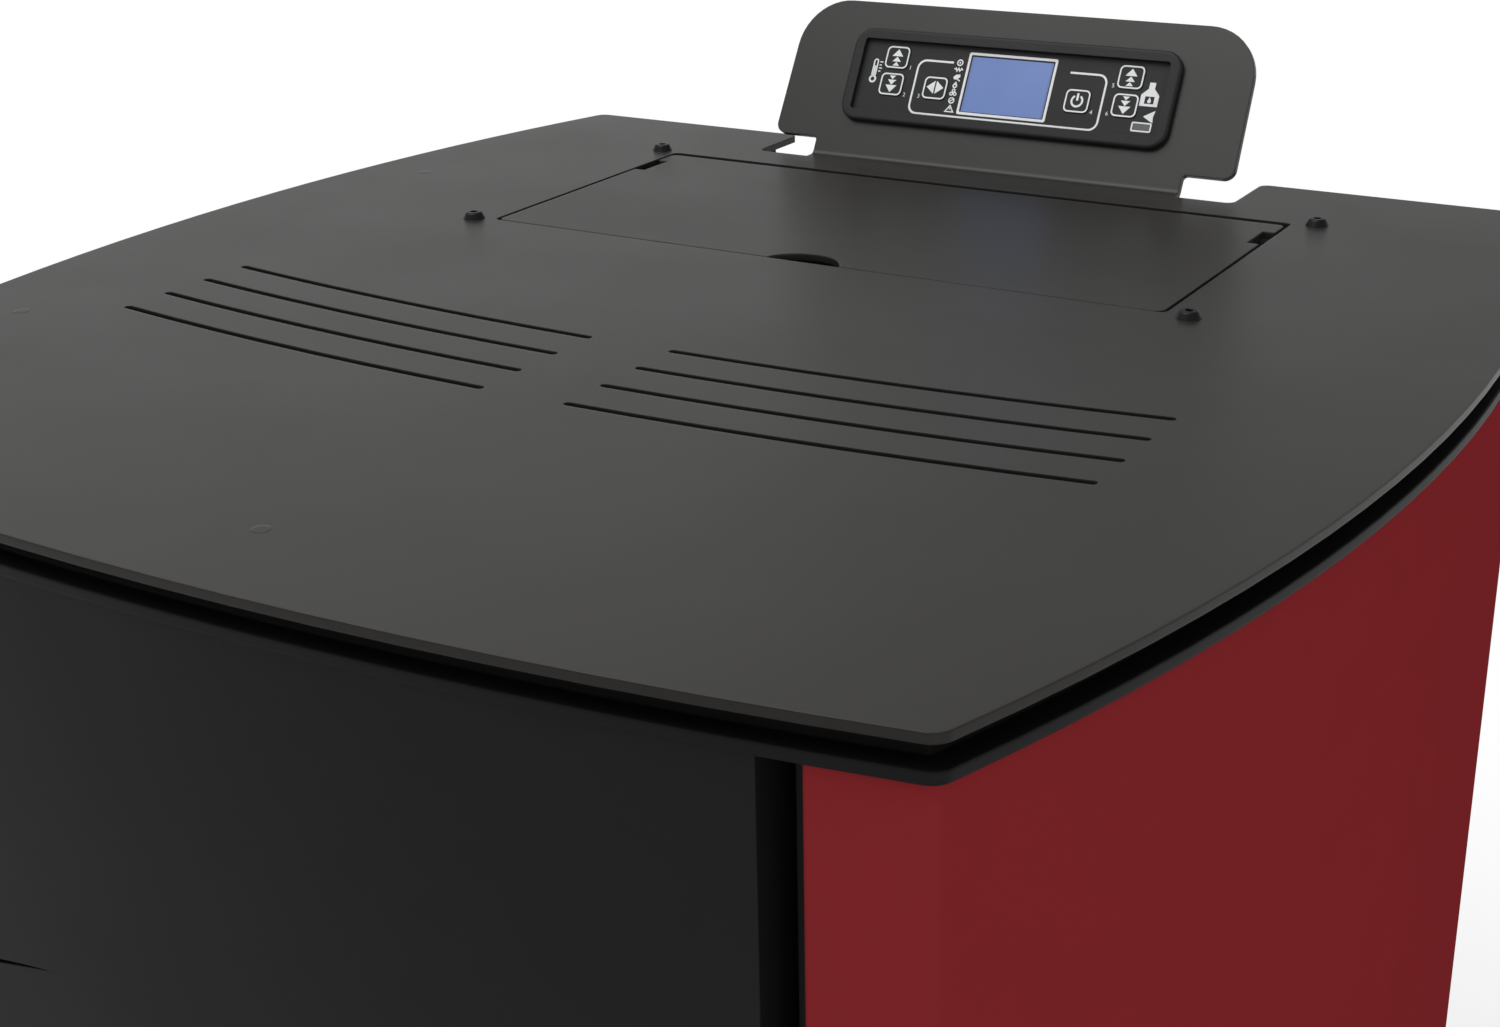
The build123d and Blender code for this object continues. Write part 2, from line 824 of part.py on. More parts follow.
with BuildPart() as front_panel_upper:
    with BuildSketch(Plane.XY.offset(upper_low_z)):
        add(bow_region(panel_inset, front_half, firebox_front_y))
    extrude(amount=body_top_z - upper_low_z)
    with BuildSketch(Plane.XY.offset(upper_low_z + sheet_t)):
        add(bow_region(side_inner, front_half - sheet_t, firebox_front_y))
    extrude(amount=body_top_z - upper_low_z, mode=Mode.SUBTRACT)
    for side in (-1, 1):
        with BuildSketch(Plane.XZ.offset(-bow_front_y(front_half, side_inner))):
            with BuildLine():
                tip = (-side * accent_in[0], top_z + accent_in[1])
                heel = (-side * accent_out[0], top_z + accent_out[1])
                middle = ((tip[0] + heel[0]) / 2, (tip[1] + heel[1]) / 2)
                ThreePointArc(tip, (middle[0], middle[1] + accent_sag), heel)
                ThreePointArc(tip, (middle[0], middle[1] + accent_sag - accent_w), heel)
            make_face()
        extrude(amount=-2 * front_y, both=False, mode=Mode.SUBTRACT)
front_panel_upper.part.label = "front_panel_upper"
export_step(front_panel_upper.part, "parts/front_panel_upper.step")

# --- Lower front panel: bowed skin that hides the base, folded sides and a folded top edge ---
with BuildPart() as front_panel_lower:
    with BuildSketch(Plane.XY.offset(base_top_z)):
        add(bow_region(panel_inset, front_half, door_back_y))
    extrude(amount=deck_z - base_top_z)
    with BuildSketch(Plane.XY.offset(base_top_z)):
        add(bow_region(side_inner, front_half - sheet_t, door_back_y))
    extrude(amount=deck_z - base_top_z - sheet_t, mode=Mode.SUBTRACT)
    with BuildSketch(Plane.XY.offset(skirt_z)):
        add(bow_region(panel_inset, front_half, bow_front_y(front_half, side_inner)))
        add(bow_region(side_inner, front_half, bow_front_y(front_half, side_inner)), mode=Mode.SUBTRACT)
    extrude(amount=base_top_z - skirt_z)
front_panel_lower.part.label = "front_panel_lower"
export_step(front_panel_lower.part, "parts/front_panel_lower.step")

# --- Base plate: bottom sheet with air slots and welded nuts for the feet ---
base_back_y = chassis_back_y + sheet_t - fit_clear

with BuildPart() as base_plate:
    with BuildSketch(Plane.XY.offset(base_z)):
        add(plan_outline(side_inner + skin_clear, base_back_y))
        with Locations((air_slot_x, air_slot_y)):
            with GridLocations(0, air_slot_pitch, 1, air_slot_count):
                SlotOverall(air_slot_l, air_slot_w, mode=Mode.SUBTRACT)
        with Locations(*foot_places.values()):
            Circle(foot_stud_r + pivot_clear, mode=Mode.SUBTRACT)
    extrude(amount=plate_t)
    with BuildSketch(Plane.XY.offset(base_z)):
        with Locations(*foot_places.values()):
            RegularPolygon(weld_nut_r, 6)
            Circle(foot_stud_r + pivot_clear, mode=Mode.SUBTRACT)
    extrude(amount=-weld_nut_h)
base_plate.part.label = "base_plate"
export_step(base_plate.part, "parts/base_plate.step")

# --- Levelling feet: round pad with a chamfered edge under a threaded stud ---
for name, place in foot_places.items():
    with BuildPart() as foot:
        with BuildSketch():
            with Locations(place):
                Circle(foot_pad_r)
        extrude(amount=foot_pad_h)
        chamfer(foot.faces().sort_by(Axis.Z)[-1].edges(), foot_pad_h / 4)
        with BuildSketch(Plane.XY.offset(foot_pad_h)):
            with Locations(place):
                Circle(foot_stud_r)
        extrude(amount=foot_stud_top - foot_pad_h)
    foot.part.label = name
    export_step(foot.part, f"parts/{name}.step")

# --- Chassis sides: channels with a front flange in the side gap and a rear flange ---
for side, name in ((-1, "chassis_left"), (1, "chassis_right")):
    with BuildPart() as chassis:
        with BuildSketch(Plane.XY.offset(base_top_z)):
            web = sorted((side * chassis_x, side * (chassis_x + sheet_t)))
            front = sorted((side * chassis_front_x, side * (chassis_x + sheet_t)))
            rear = sorted((side * chassis_rear_x, side * (chassis_x + sheet_t)))
            span(*web, chassis_front_y, chassis_back_y)
            span(*front, chassis_front_y, chassis_front_y + sheet_t)
            span(*rear, chassis_back_y - sheet_t, chassis_back_y)
        extrude(amount=body_top_z - base_top_z)
        with BuildSketch(Plane.YZ.offset(side * chassis_x)):
            with Locations(*((chassis_window_y, z) for z in chassis_window_zs)):
                RectangleRounded(chassis_window_w, chassis_window_h, chassis_window_r)
        extrude(amount=side * sheet_t, mode=Mode.SUBTRACT)
    chassis.part.label = name
    export_step(chassis.part, f"parts/{name}.step")

# --- Middle deck: shelf that carries the firebox, with flanges and openings for the ducts ---
with BuildPart() as mid_deck:
    with BuildSketch(Plane.XY.offset(deck_z - plate_t)):
        span(-chassis_x, chassis_x, door_back_y, chassis_back_y - sheet_t)
        span(
            flue_x - flue_box_half - fit_clear,
            flue_x + flue_box_half + fit_clear,
            -scroll_t,
            flue_box_depth + fit_clear,
            mode=Mode.SUBTRACT,
        )
        span(fan_left_x + fan_wall, fan_right_x - fan_wall, fan_wall, fan_duct_y, mode=Mode.SUBTRACT)
    extrude(amount=plate_t)
    with BuildSketch(Plane.XY.offset(deck_z - deck_flange_h)):
        span(-firebox_half, firebox_half, door_back_y, door_back_y + plate_t)
        span(-chassis_rear_x, chassis_rear_x, chassis_back_y - sheet_t - plate_t, chassis_back_y - sheet_t)
    extrude(amount=deck_flange_h - plate_t)
mid_deck.part.label = "mid_deck"
export_step(mid_deck.part, "parts/mid_deck.step")

# --- Rear panel: cover with louvre slots and the openings for flue, intake and electrics ---
with BuildPart() as rear_panel:
    with BuildSketch(Plane.XZ.offset(-chassis_back_y)):
        span(-rear_half, rear_half, base_top_z, body_top_z)
        with Locations((flue_x, flue_z)):
            Circle(flue_r - flue_swage + fit_clear, mode=Mode.SUBTRACT)
        with Locations((intake_x, intake_z)):
            Circle(intake_r - intake_swage + fit_clear, mode=Mode.SUBTRACT)
        with Locations((inlet_x, inlet_z)):
            Rectangle(inlet_w + 2 * fit_clear, inlet_h + 2 * fit_clear, mode=Mode.SUBTRACT)
        with Locations((reset_x, reset_z)):
            Circle(reset_r + fit_clear, mode=Mode.SUBTRACT)
        with Locations(*((x, z) for x in (-rear_screw_x, rear_screw_x) for z in rear_screw_zs)):
            Circle(screw_hole_r, mode=Mode.SUBTRACT)
        for x in (-louvre_x, louvre_x):
            with Locations((x, louvre_z)):
                with GridLocations(0, louvre_pitch, 1, louvre_count):
                    SlotOverall(louvre_l, louvre_w, mode=Mode.SUBTRACT)
    extrude(amount=-sheet_t)
rear_panel.part.label = "rear_panel"
export_step(rear_panel.part, "parts/rear_panel.step")

# --- Firebox: welded plates with mouth, drawer opening and ash slots, and the exchanger tubes ---
floor_top_z = fire_floor_z + firebox_t
tube_xs = [tube_pitch * (i - (tube_count - 1) / 2) for i in range(tube_count)]
inside_front_y = firebox_front_y + firebox_t
inside_back_y = firebox_back_y - firebox_t
plate_inner_x = firebox_half - firebox_t

with BuildPart() as firebox:
    with BuildSketch(Plane.XY.offset(deck_z)):
        for side in (-1, 1):
            near, far = sorted((side * firebox_half, side * plate_inner_x))
            span(near, far, inside_front_y + weld_gap, inside_back_y - weld_gap)
        span(-firebox_half, firebox_half, firebox_front_y, inside_front_y)
        span(-firebox_half, firebox_half, inside_back_y, firebox_back_y)
    extrude(amount=firebox_top_z - deck_z)
    for low_z in (fire_floor_z, firebox_top_z - firebox_t):
        with BuildSketch(Plane.XY.offset(low_z)):
            span(
                -plate_inner_x + weld_gap,
                plate_inner_x - weld_gap,
                inside_front_y + weld_gap,
                inside_back_y - weld_gap,
            )
        extrude(amount=firebox_t)
    with BuildSketch(Plane.XZ.offset(-firebox_front_y)):
        with Locations((0, (mouth_low_z + mouth_high_z) / 2)):
            RectangleRounded(2 * mouth_half, mouth_high_z - mouth_low_z, mouth_r)
        span(-drawer_mouth_half, drawer_mouth_half, deck_z, drawer_top_z)
    extrude(amount=-firebox_t, mode=Mode.SUBTRACT)
    with BuildSketch(Plane.XY.offset(fire_floor_z)):
        with Locations((-ash_slot_x, ash_slot_y), (ash_slot_x, ash_slot_y)):
            Rectangle(2 * ash_slot_half_w, ash_slot_l)
    extrude(amount=firebox_t, mode=Mode.SUBTRACT)
    with BuildSketch(Plane.XZ.offset(-firebox_back_y)):
        with Locations((scroll_x, scroll_z)):
            Circle(port_r)
        with Locations((intake_x, intake_z)):
            Circle(intake_r - intake_swage + fit_clear)
        with Locations((igniter_x, igniter_z)):
            Circle(igniter_r + fit_clear)
    extrude(amount=firebox_t, mode=Mode.SUBTRACT)
    with BuildSketch(chute_plane):
        Circle(chute_r + fit_clear)
    extrude(amount=chute_l, mode=Mode.SUBTRACT)
    with BuildSketch(Plane.XZ.offset(-firebox_back_y)):
        with Locations(*((x, tube_z) for x in tube_xs)):
            Circle(tube_r + weld_gap)
    extrude(amount=firebox_back_y - firebox_front_y, mode=Mode.SUBTRACT)
    with BuildSketch(Plane.XZ.offset(-firebox_back_y)):
        with Locations(*((x, tube_z) for x in tube_xs)):
            Circle(tube_r)
            Circle(tube_r - tube_wall, mode=Mode.SUBTRACT)
    extrude(amount=firebox_back_y - firebox_front_y)
firebox.part.label = "firebox"
export_step(firebox.part, "parts/firebox.step")

# --- Firebox lining: a brick-patterned back board in two pieces, and two side boards ---
back_board_y = inside_back_y - skin_clear
board_half_w = firebox_half - firebox_t - skin_clear
board_low_z = floor_top_z

with BuildPart() as firebox_lining:
    with BuildSketch(Plane.XZ.offset(-back_board_y)):
        span(-board_half_w, board_half_w, board_low_z, board_top_z)
    extrude(amount=back_board_t)
    with BuildSketch(Plane.XZ.offset(back_board_t - back_board_y)) as joints:
        rows = int((board_top_z - board_low_z) / brick_h)
        for row in range(1, rows + 1):
            joint_z = board_low_z + row * brick_h
            with Locations((0, joint_z)):
                Rectangle(2 * (board_half_w - side_board_t), groove_w)
            shift = brick_w / 4 if row % 2 else -brick_w / 4
            with Locations((0, joint_z - brick_h / 2)):
                with Locations((shift - brick_w / 2, 0), (shift + brick_w / 2, 0)):
                    Rectangle(groove_w, brick_h)
    extrude(amount=-groove_deep, mode=Mode.SUBTRACT)
    with BuildSketch(Plane.XZ.offset(-back_board_y)):
        with Locations((scroll_x, scroll_z)):
            Circle(port_r)
        with Locations((intake_x, intake_z)):
            Circle(intake_r - intake_swage + fit_clear)
        with Locations((igniter_x, igniter_z)):
            Circle(igniter_r + fit_clear)
    extrude(amount=back_board_t, mode=Mode.SUBTRACT)
    with BuildSketch(chute_plane):
        Circle(chute_r + fit_clear)
    extrude(amount=chute_l + 2 * back_board_t, mode=Mode.SUBTRACT)
    with BuildSketch(Plane.XY.offset(board_seam_z)):
        span(-board_half_w, board_half_w, back_board_y - back_board_t, back_board_y)
    extrude(amount=weld_gap, mode=Mode.SUBTRACT)
    with BuildSketch(Plane.XY.offset(board_low_z)):
        for side in (-1, 1):
            near, far = sorted((side * board_half_w, side * (board_half_w - side_board_t)))
            span(near, far, inside_front_y + skin_clear, back_board_y - back_board_t - skin_clear)
    extrude(amount=board_top_z - board_low_z)
firebox_lining.part.label = "firebox_lining"
export_step(firebox_lining.part, "parts/firebox_lining.step")

# --- Baffle: plate resting on the lining boards under the exchanger tubes ---
with BuildPart() as baffle:
    with BuildSketch(Plane.XY.offset(board_top_z)):
        span(-baffle_half, baffle_half, inside_front_y + baffle_gap, back_board_y - back_board_t / 2)
    extrude(amount=baffle_t)
    fillet(baffle.edges().filter_by(Axis.Z), mouth_r)
baffle.part.label = "baffle"
export_step(baffle.part, "parts/baffle.step")

# --- Pot holder: open box on the firebox floor, fed by the air intake ---
holder_front_y = pot_y - holder_half_d
holder_back_y = pot_y + holder_half_d

with BuildPart() as pot_holder:
    with BuildSketch(Plane.XY.offset(floor_top_z)):
        span(-holder_half_w, holder_half_w, holder_front_y, holder_back_y)
    extrude(amount=holder_top_z - floor_top_z)
    fillet(pot_holder.edges().filter_by(Axis.Z), 2 * holder_t)
    with BuildSketch(Plane.XY.offset(floor_top_z)):
        span(
            -holder_half_w + holder_t,
            holder_half_w - holder_t,
            holder_front_y + holder_t,
            holder_back_y - holder_t,
        )
    extrude(amount=holder_top_z - floor_top_z, mode=Mode.SUBTRACT)
    with BuildSketch(Plane.XZ.offset(-holder_back_y)):
        with Locations((intake_x, intake_z)):
            Circle(intake_r - intake_swage + fit_clear)
        with Locations((igniter_x, igniter_z)):
            Circle(igniter_r + fit_clear)
    extrude(amount=holder_t, mode=Mode.SUBTRACT)
pot_holder.part.label = "pot_holder"
export_step(pot_holder.part, "parts/pot_holder.step")

# --- Burn pot: tapered cast bowl with a flange and a perforated bottom ---
with BuildPart() as burn_pot:
    with BuildSketch(Plane.XY.offset(holder_top_z)):
        with Locations((0, pot_y)):
            RectangleRounded(2 * (pot_half_w + pot_flange), 2 * (pot_half_d + pot_flange), pot_flange)
    extrude(amount=pot_flange_t)
    for grow, mode in ((0, Mode.ADD), (-pot_wall, Mode.SUBTRACT)):
        with BuildSketch(Plane.XY.offset(holder_top_z - pot_deep - grow)):
            with Locations((0, pot_y)):
                RectangleRounded(
                    2 * (pot_half_w - pot_taper + grow),
                    2 * (pot_half_d - pot_taper + grow),
                    pot_flange,
                )
        with BuildSketch(Plane.XY.offset(holder_top_z + pot_flange_t)):
            with Locations((0, pot_y)):
                RectangleRounded(2 * (pot_half_w + grow), 2 * (pot_half_d + grow), pot_flange)
        loft(ruled=True, mode=mode)
    with BuildSketch(Plane.XY.offset(holder_top_z - pot_deep)):
        with Locations((0, pot_y)):
            with GridLocations(pot_hole_pitch, pot_hole_pitch, pot_hole_cols, pot_hole_rows):
                Circle(pot_hole_r)
    extrude(amount=pot_wall, mode=Mode.SUBTRACT)
burn_pot.part.label = "burn_pot"
export_step(burn_pot.part, "parts/burn_pot.step")

# --- Ash drawer: folded tray, and the bowed front that pulls it ---
with BuildPart() as ash_drawer:
    with BuildSketch(Plane.XY.offset(deck_z)):
        span(-drawer_half, drawer_half, drawer_front_y, drawer_back_y)
    extrude(amount=drawer_h)
    fillet(ash_drawer.edges().filter_by(Axis.Z).group_by(Axis.Y)[-1], 4 * drawer_t)
    with BuildSketch(Plane.XY.offset(deck_z + drawer_t)):
        span(
            -drawer_half + drawer_t,
            drawer_half - drawer_t,
            drawer_front_y + drawer_t,
            drawer_back_y - drawer_t,
        )
    extrude(amount=drawer_h, mode=Mode.SUBTRACT)
ash_drawer.part.label = "ash_drawer"
export_step(ash_drawer.part, "parts/ash_drawer.step")

drawer_low_z = deck_z + panel_gap

with BuildPart() as drawer_front:
    with BuildSketch(Plane.XY.offset(drawer_low_z)):
        add(bow_region(panel_inset, front_half, drawer_front_y))
    extrude(amount=drawer_top_z - drawer_low_z)
    with BuildSketch(Plane.XY.offset(drawer_low_z + sheet_t)):
        add(bow_region(side_inner, front_half - sheet_t, drawer_front_y - sheet_t))
    extrude(amount=drawer_top_z - drawer_low_z - 2 * sheet_t, mode=Mode.SUBTRACT)
    with BuildSketch(Plane.XZ.offset(sheet_t - drawer_front_y)):
        with Locations((0, drawer_top_z)):
            RectangleRounded(2 * drawer_grip_half, 2 * drawer_grip_h, drawer_grip_h / 2)
    extrude(amount=-front_y, mode=Mode.SUBTRACT)
drawer_front.part.label = "drawer_front"
export_step(drawer_front.part, "parts/drawer_front.step")

# --- Fire door: bowed steel pan with a rounded window, and lugs for the hinge pins ---
pan_low_z = drawer_top_z + panel_gap
pane_mid_z = (pane_low_z + pane_high_z) / 2
frame_face_y = door_back_y - inner_frame_t

with BuildPart() as door_frame:
    with BuildSketch(Plane.XY.offset(pan_low_z)):
        add(bow_region(panel_inset, front_half, frame_face_y))
    extrude(amount=door_top_z - pan_low_z)
    with BuildSketch(Plane.XY.offset(pan_low_z + door_skin_t)):
        add(bow_region(panel_inset + door_skin_t, front_half - door_skin_t, frame_face_y))
    extrude(amount=door_top_z - pan_low_z - 2 * door_skin_t, mode=Mode.SUBTRACT)
    with BuildSketch(Plane.XZ.offset(-frame_face_y)):
        with Locations((0, pane_mid_z)):
            RectangleRounded(2 * pane_half, pane_high_z - pane_low_z, pane_r)
    extrude(amount=-front_y, mode=Mode.SUBTRACT)
    for z in (door_lug_low_z, door_lug_high_z):
        with BuildSketch(Plane.XY.offset(z)):
            span(door_pin_x, -front_half, door_pin_y - door_lug_r + door_skin_t, door_pin_y + door_lug_r)
            with Locations((door_pin_x, door_pin_y)):
                Circle(door_lug_r)
                Circle(door_pin_r + pivot_clear, mode=Mode.SUBTRACT)
        extrude(amount=door_lug_h)
    with BuildSketch(Plane.YZ.offset(front_half - door_skin_t)):
        with Locations((handle_pivot_y, handle_pivot_z)):
            Circle(handle_pin_r)
    extrude(amount=handle_x + handle_w / 2 - front_half + door_skin_t)
door_frame.part.label = "door_frame"
export_step(door_frame.part, "parts/door_frame.step")

# --- Door inner frame: plate with a rim that clamps the glass and carries the gasket ---
with BuildPart() as door_inner_frame:
    with BuildSketch(Plane.XZ.offset(-door_back_y)):
        span(-front_half, front_half, pan_low_z, door_top_z)
    extrude(amount=inner_frame_t)
    with BuildSketch(Plane.XY.offset(pane_low_z - glass_lap)) as rim_area:
        add(bow_region(panel_inset + door_skin_t + glass_t + 2 * trim_clear, pane_half, frame_face_y))
    extrude(amount=pane_high_z - pane_low_z + 2 * glass_lap)
    with BuildSketch(Plane.XZ.offset(-door_back_y)):
        with Locations((0, pane_mid_z)):
            RectangleRounded(
                2 * (pane_half - inner_rim_t),
                pane_high_z - pane_low_z + 2 * (glass_lap - inner_rim_t),
                pane_r,
            )
    extrude(amount=-front_y, mode=Mode.SUBTRACT)
door_inner_frame.part.label = "door_inner_frame"
export_step(door_inner_frame.part, "parts/door_inner_frame.step")

# --- Door glass: ceramic pane bowed like the front, behind the window's edge ---
glass_inset = panel_inset + door_skin_t + trim_clear
glass_half = pane_half + glass_lap

with BuildPart() as door_glass:
    with BuildSketch(Plane.XY.offset(pane_low_z - glass_lap)):
        add(bow_region(glass_inset, glass_half, frame_face_y))
        add(bow_region(glass_inset + glass_t, glass_half, frame_face_y), mode=Mode.SUBTRACT)
    extrude(amount=pane_high_z - pane_low_z + 2 * glass_lap)
door_glass.part.label = "door_glass"
export_step(door_glass.part, "parts/door_glass.step")

# --- Door gasket: rope seal running round the mouth, on the back of the inner frame ---
with BuildPart() as door_gasket:
    with BuildSketch(Plane.XZ.offset(-door_back_y)):
        with Locations((0, (gasket_low_z + gasket_high_z) / 2)):
            RectangleRounded(
                2 * gasket_half + gasket_w,
                gasket_high_z - gasket_low_z + gasket_w,
                gasket_r,
            )
            RectangleRounded(
                2 * gasket_half - gasket_w,
                gasket_high_z - gasket_low_z - gasket_w,
                gasket_r - gasket_w,
                mode=Mode.SUBTRACT,
            )
    extrude(amount=-(firebox_front_y - door_back_y - fit_clear))
    fillet(door_gasket.faces().sort_by(Axis.Y)[-1].edges(), gasket_w / 8)
door_gasket.part.label = "door_gasket"
export_step(door_gasket.part, "parts/door_gasket.step")

# --- Door hinges: arms from the chassis flange with upright pins under the door's lugs ---
with BuildPart() as door_hinges:
    for z in (door_lug_low_z, door_lug_high_z):
        with BuildSketch(Plane.XY.offset(z - hinge_arm_h)):
            span(door_pin_x - door_lug_r, door_pin_x + door_lug_r, door_pin_y, chassis_front_y)
            with Locations((door_pin_x, door_pin_y)):
                Circle(door_lug_r)
        extrude(amount=hinge_arm_h)
        with BuildSketch(Plane.XY.offset(z)):
            with Locations((door_pin_x, door_pin_y)):
                Circle(door_pin_r)
        extrude(amount=door_lug_h)
door_hinges.part.label = "door_hinges"
export_step(door_hinges.part, "parts/door_hinges.step")

# --- Door handle: slim lever in the right-hand gap, tilting outwards on its lower pin ---
with BuildPart() as door_handle:
    with BuildSketch(Plane.YZ.offset(handle_x - handle_w / 2)) as lever:
        span(handle_front_y, handle_back_y, handle_low_z, handle_high_z)
        fillet(lever.vertices(), handle_w / 2)
        with Locations((handle_pivot_y, handle_pivot_z)):
            Circle(handle_pin_r + pivot_clear, mode=Mode.SUBTRACT)
    extrude(amount=handle_w)
    chamfer(door_handle.edges().filter_by(Axis.Z).group_by(Axis.Y)[0], handle_w / 6)
door_handle.part.label = "door_handle"
export_step(door_handle.part, "parts/door_handle.step")

# --- Hopper: flanged mouth, straight walls, taper and throat, spot-welded from separate sheets ---
def border(half, front, back, width):
    """The four strips round a rectangle: left, right, front and back."""
    outer, inner = half + width, half - weld_gap
    return (
        (-outer, -half, front - width, back + width),
        (half, outer, front - width, back + width),
        (-inner, inner, front - width, front),
        (-inner, inner, back, back + width),
    )


throat_front_y = throat_y - throat_half_d
throat_back_y = throat_y + throat_half_d
taper_low_z = throat_z + hopper_t + weld_gap
wall_strips = border(hopper_half, hopper_front_y, hopper_back_y, hopper_t)
taper_strips = border(throat_half, throat_front_y, throat_back_y, hopper_t)

with BuildPart() as hopper:
    for wall_strip, taper_strip in zip(wall_strips, taper_strips):
        with BuildSketch(Plane.XY.offset(hopper_straight_z)):
            span(*wall_strip)
        extrude(amount=plate_z - hopper_t - weld_gap - hopper_straight_z)
        with BuildSketch(Plane.XY.offset(hopper_straight_z - weld_gap)):
            span(*wall_strip)
        with BuildSketch(Plane.XY.offset(taper_low_z)):
            span(*taper_strip)
        loft(ruled=True)
    with BuildSketch(Plane.XY.offset(throat_z)):
        for strip in border(throat_half, throat_front_y, throat_back_y, throat_flange):
            span(*strip)
    extrude(amount=hopper_t)
    with BuildSketch(Plane.XY.offset(plate_z - hopper_t)):
        for side in (-1, 1):
            near, far = sorted((side * hopper_half, side * hopper_flange_half))
            span(near, far, hopper_flange_front_y, hopper_flange_back_y)
            near, far = sorted((side * finger_half, side * (hopper_half - weld_gap)))
            span(near, far, hopper_front_y, hopper_front_y + hopper_ledge)
        inner = hopper_half - weld_gap
        span(-inner, inner, hopper_flange_front_y, hopper_front_y - weld_gap)
        span(-inner, inner, hopper_back_y, hopper_flange_back_y)
        with Locations(*((x, y) for x in (-top_screw_x, top_screw_x) for y in top_screw_ys)):
            Circle(screw_hole_r, mode=Mode.SUBTRACT)
    extrude(amount=hopper_t)
hopper.part.label = "hopper"
export_step(hopper.part, "parts/hopper.step")

# --- Hopper grid: finger guard of parallel bars in a frame, across the hopper ---
grid_half = hopper_half - fit_clear
grid_mid_y = (hopper_front_y + hopper_back_y) / 2
grid_depth = hopper_back_y - hopper_front_y - 2 * fit_clear

with BuildPart() as hopper_grid:
    with BuildSketch(Plane.XY.offset(grid_z)):
        with Locations((0, grid_mid_y)):
            Rectangle(2 * grid_half, grid_depth)
            Rectangle(2 * (grid_half - grid_bar), grid_depth - 2 * grid_bar, mode=Mode.SUBTRACT)
            with GridLocations(grid_pitch, 0, int(2 * grid_half / grid_pitch) - 1, 1):
                Rectangle(grid_bar, grid_depth)
    extrude(amount=grid_bar)
hopper_grid.part.label = "hopper_grid"
export_step(hopper_grid.part, "parts/hopper_grid.step")

# --- Auger housing: inclined tube with an inlet collar and end plates, and the drop chute ---
def collar_outline(grow):
    """Side outline of the inlet collar, from the throat down to the auger's axis."""
    front = throat_front_y - grow
    back = throat_back_y + grow
    with BuildSketch() as section:
        with BuildLine():
            Polyline(
                (front, throat_z),
                (back, throat_z),
                (back, auger_z),
                (auger_y, auger_z),
                (front, auger_z + (auger_y - front) * auger_sin / auger_cos),
                close=True,
            )
        make_face()
    return section.sketch


with BuildPart() as chute:
    with BuildSketch(chute_plane):
        Circle(chute_r)
        Circle(chute_r - chute_wall, mode=Mode.SUBTRACT)
    extrude(amount=chute_l)
    with BuildSketch(auger_plane):
        Circle(auger_tube_r + weld_gap)
    extrude(amount=auger_l, mode=Mode.SUBTRACT)

with BuildPart() as auger_housing:
    with BuildSketch(auger_plane):
        Circle(auger_tube_r)
    extrude(amount=auger_l)
    with BuildSketch(Plane.YZ.offset(-throat_half - hopper_t)):
        add(collar_outline(hopper_t))
    extrude(amount=2 * (throat_half + hopper_t))
    with BuildSketch(Plane.XY.offset(throat_z)):
        with Locations((0, throat_y)):
            Rectangle(2 * (throat_half + throat_flange), 2 * (throat_half_d + throat_flange))
    extrude(amount=-hopper_t)
    split(bisect_by=auger_plane, keep=Keep.TOP)
    with BuildSketch(auger_plane):
        Circle(auger_tube_r - auger_tube_t)
    extrude(amount=auger_l - auger_tube_t, mode=Mode.SUBTRACT)
    with BuildSketch(Plane.YZ.offset(-throat_half)):
        add(collar_outline(0))
    extrude(amount=2 * throat_half, mode=Mode.SUBTRACT)
    with BuildSketch(chute_plane):
        Circle(chute_r - chute_wall)
    extrude(amount=chute_l, mode=Mode.SUBTRACT)
    with BuildSketch(auger_plane.offset(-auger_tube_t)):
        RectangleRounded(2 * auger_tube_r, gearbox_h, auger_tube_t)
    extrude(amount=auger_tube_t)
    with BuildSketch(auger_plane.offset(-auger_tube_t)):
        Circle(auger_shaft_r + pivot_clear)
    extrude(amount=auger_tube_t + auger_l, mode=Mode.SUBTRACT)
    add(chute.part)
auger_housing.part.label = "auger_housing"
export_step(auger_housing.part, "parts/auger_housing.step")

# --- Auger screw: shaft with a helical flight ---
flight_start = auger_plane.offset(auger_start).origin

with BuildPart() as auger_screw:
    with BuildSketch(auger_plane.offset(-auger_tail)):
        Circle(auger_shaft_r)
    extrude(amount=auger_tail + auger_l + auger_tube_t)
    with BuildLine() as helix:
        Helix(
            auger_pitch,
            auger_pitch * auger_turns,
            auger_flight_r,
            center=flight_start,
            direction=auger_plane.z_dir,
        )
    with BuildSketch(Plane(helix.line @ 0, x_dir=helix.line @ 0 - flight_start, z_dir=helix.line % 0)):
        with Locations((-(auger_flight_r - auger_shaft_r + auger_flight_t) / 2, 0)):
            Rectangle(auger_flight_r - auger_shaft_r + auger_flight_t, auger_flight_t)
    sweep(path=helix.line, is_frenet=True)
auger_screw.part.label = "auger_screw"
export_step(auger_screw.part, "parts/auger_screw.step")

# --- Auger gearmotor: gearbox on the tube's lower plate, with its motor folded beside the tube ---
with BuildPart() as auger_gearmotor:
    with BuildSketch(auger_plane.offset(-auger_tube_t)) as case:
        span(-gearbox_left, gearbox_right, -gearbox_h / 2, gearbox_h / 2)
        fillet(case.vertices(), 2 * auger_tube_t)
    extrude(amount=-gearbox_t)
    with BuildSketch(auger_plane.offset(-auger_tube_t)):
        with Locations((gear_can_x, 0)):
            Circle(gear_can_r)
    extrude(amount=gear_can_l)
    with BuildSketch(auger_plane.offset(-auger_tube_t)):
        Circle(auger_shaft_r + pivot_clear)
    extrude(amount=-auger_tail, mode=Mode.SUBTRACT)
auger_gearmotor.part.label = "auger_gearmotor"
export_step(auger_gearmotor.part, "parts/auger_gearmotor.step")


